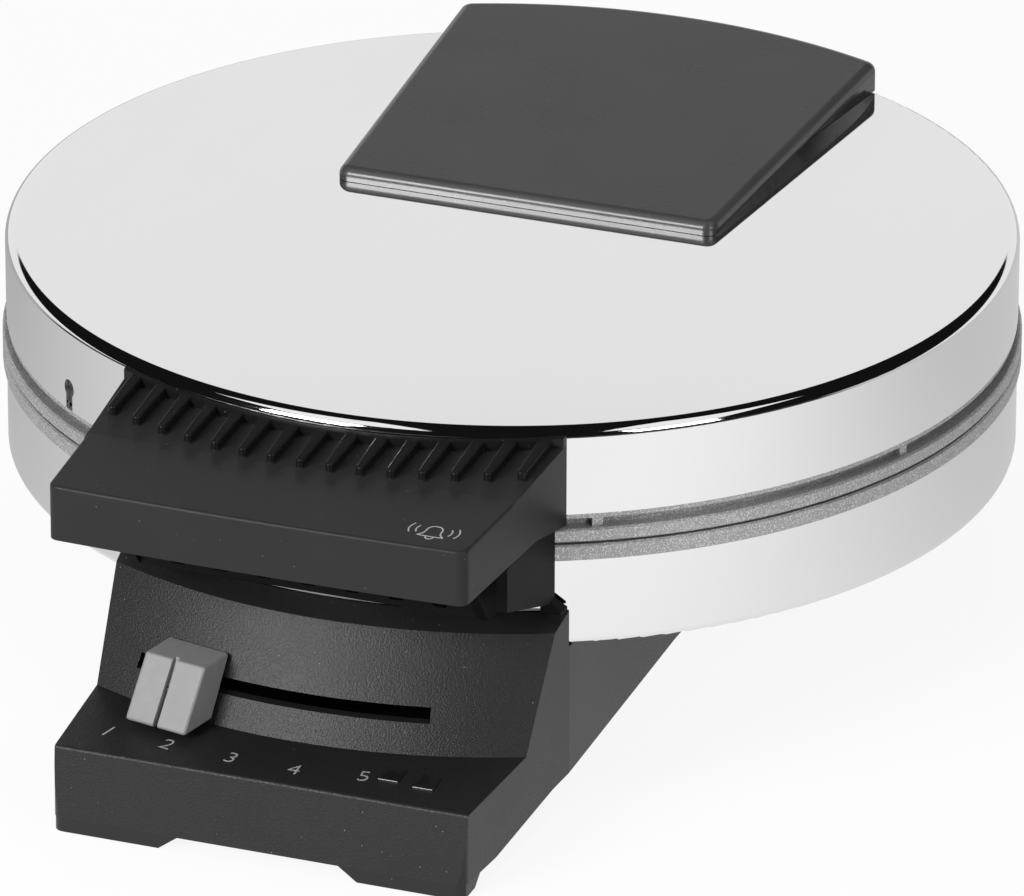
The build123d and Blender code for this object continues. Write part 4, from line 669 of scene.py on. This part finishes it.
# Painted shade in the floor's reflected glow, on the left.
LEFT_PAINTED_SHADE = {"start": -0.17, "end": -0.07, "before": 0.73, "after": 1.0}
SEEN_GLOW = 0.9
bpy.ops.mesh.primitive_plane_add(size=FLOOR_SIZE, location=(0, 0, FLOOR_LEVEL))
floor = bpy.context.object
floor.name = "floor"
floor_material = bpy.data.materials.new("floor")
tree = Tree(floor_material)
spot = place(tree)
depth = coordinate(tree, spot, "Y")
sweep = fade(tree, depth, **SWEEP)
left_painted_shade = fade(tree, coordinate(tree, spot, "X"), **LEFT_PAINTED_SHADE)
distance = tree.node("VectorMath", {"operation": "LENGTH"}, {0: spot}, output="Value")
glow_extent = fade(tree, distance, **SWEEP_EDGE)
behind = fade(tree, depth, **SWEEP_FRONT, kind="LINEAR")
lit = tree.node("BsdfDiffuse", {}, {"Color": grey(0.8)}, output="BSDF")
glow = tree.node("Emission", {}, {"Color": grey(1.0), "Strength": 1.0}, output="Emission")
# In reflections the floor glows as painted light, and is dimmed on the left as painted shade.
mirrored = tree.node("Emission", {}, {"Color": grey(1.0),
                                      "Strength": sweep * left_painted_shade * glow_extent.at_least(behind)},
                     output="Emission")
seen = tree.node("LightPath", output="Is Camera Ray")
glossy = tree.node("LightPath", output="Is Glossy Ray")
surface = tree.node("MixShader", {}, {0: seen * SEEN_GLOW, 1: lit, 2: glow}, output=0)
surface = tree.node("MixShader", {}, {0: glossy, 1: surface, 2: mirrored}, output=0)
tree.node("OutputMaterial", {}, {"Surface": surface})
floor.data.materials.append(floor_material)
print("floor laid")

# %% [markdown]
# ## The room in the reflections
# A mirror shows the room. The lid's flat top reflects what lies low behind it, its rounded
# edge sweeps over the whole ceiling, and its wall reflects the floor. So the room has a pale
# backdrop that ends low behind the object, two soft lights overhead, one on each side, and
# darkness elsewhere. The rounded edge then shows as a black line with two white streaks.

# %% World
FRONT = (math.sin(AZIMUTH), -math.cos(AZIMUTH), 0)
BACKDROP = {"start": 154.5, "end": 155.5, "before": 0.006, "after": 0.88}
LEFT_LIGHT = {"turn": (48, 92), "sideways": (-0.64, -0.25)}
RIGHT_LIGHT = {"turn": (42, 90), "sideways": (0.29, 0.64)}
OVERHEAD_BRIGHTNESS = 0.95
EVEN_LEVEL, EVEN_STRENGTH = 0.75, 0.55
world = bpy.data.worlds.new("room")
bpy.context.scene.world = world
tree = Tree(world)
direction = tree.node("TexCoord", output="Generated")
height = coordinate(tree, direction, "Z")
forward = tree.node("VectorMath", {"operation": "DOT_PRODUCT"}, {0: direction, 1: FRONT},
                    output="Value")
turn = tree.node("Math", {"operation": "ARCTAN2"}, {0: height, 1: forward}) * (180 / math.pi)
backdrop = fade(tree, turn, **BACKDROP)
sideways = tree.node("VectorMath", {"operation": "DOT_PRODUCT"}, {0: direction, 1: side},
                     output="Value")
left_box = band(turn, *LEFT_LIGHT["turn"]) * band(sideways, *LEFT_LIGHT["sideways"])
right_box = band(turn, *RIGHT_LIGHT["turn"]) * band(sideways, *RIGHT_LIGHT["sideways"])
overhead = (left_box + right_box) * OVERHEAD_BRIGHTNESS
room = backdrop.at_least(overhead)
even = tree.node("Background", {}, {"Color": grey(EVEN_LEVEL), "Strength": EVEN_STRENGTH},
                 output="Background")
shown = tree.node("Background", {}, {"Color": grey(1.0), "Strength": room}, output="Background")
white = tree.node("Background", {}, {"Color": grey(1.0), "Strength": 1.0}, output="Background")
seen = tree.node("LightPath", output="Is Camera Ray")
glossy = tree.node("LightPath", output="Is Glossy Ray")
mirrored = tree.node("MixShader", {}, {0: glossy, 1: even, 2: shown}, output=0)
surface = tree.node("MixShader", {}, {0: seen, 1: mirrored, 2: white}, output=0)
tree.node("OutputWorld", {}, {"Surface": surface})
print("world ready")

# %% [markdown]
# ## Lamps
# A soft lamp low to the front left lights the knob and the curved wall and draws the grain
# beside the slot. A second one overhead lights the tops of the black pieces, and a third
# fills the right side. The one overhead is kept out of the reflections, because the polished
# edge would show it as a streak between the two lights that the room above already draws.

# %% Lamps
def lamp(name, azimuth, elevation, distance, size, power):
    """Square area lamp aimed at the part; azimuth 0 is in front, positive to the right."""
    data = bpy.data.lights.new(name, "AREA")
    data.size, data.energy = size, power
    made = bpy.data.objects.new(name, data)
    bpy.context.scene.collection.objects.link(made)
    turn, lift = math.radians(azimuth), math.radians(elevation)
    made.location = distance * Vector((math.sin(turn) * math.cos(lift),
                                       -math.cos(turn) * math.cos(lift), math.sin(lift)))
    made.rotation_euler = (-made.location).to_track_quat("-Z", "Y").to_euler()
    return made


lamp("front_left", azimuth=-24, elevation=25, distance=1.5, size=0.5, power=18)
top_lamp = lamp("overhead", azimuth=10, elevation=80, distance=1.6, size=0.7, power=6)
top_lamp.visible_glossy = False
lamp("right_fill", azimuth=56, elevation=22, distance=1.8, size=0.6, power=7)
print("lamps lit")

# %% [markdown]
# ## Finish
# The dressed model must fill the same box as the CAD model.

# %% Finish
print("finished")
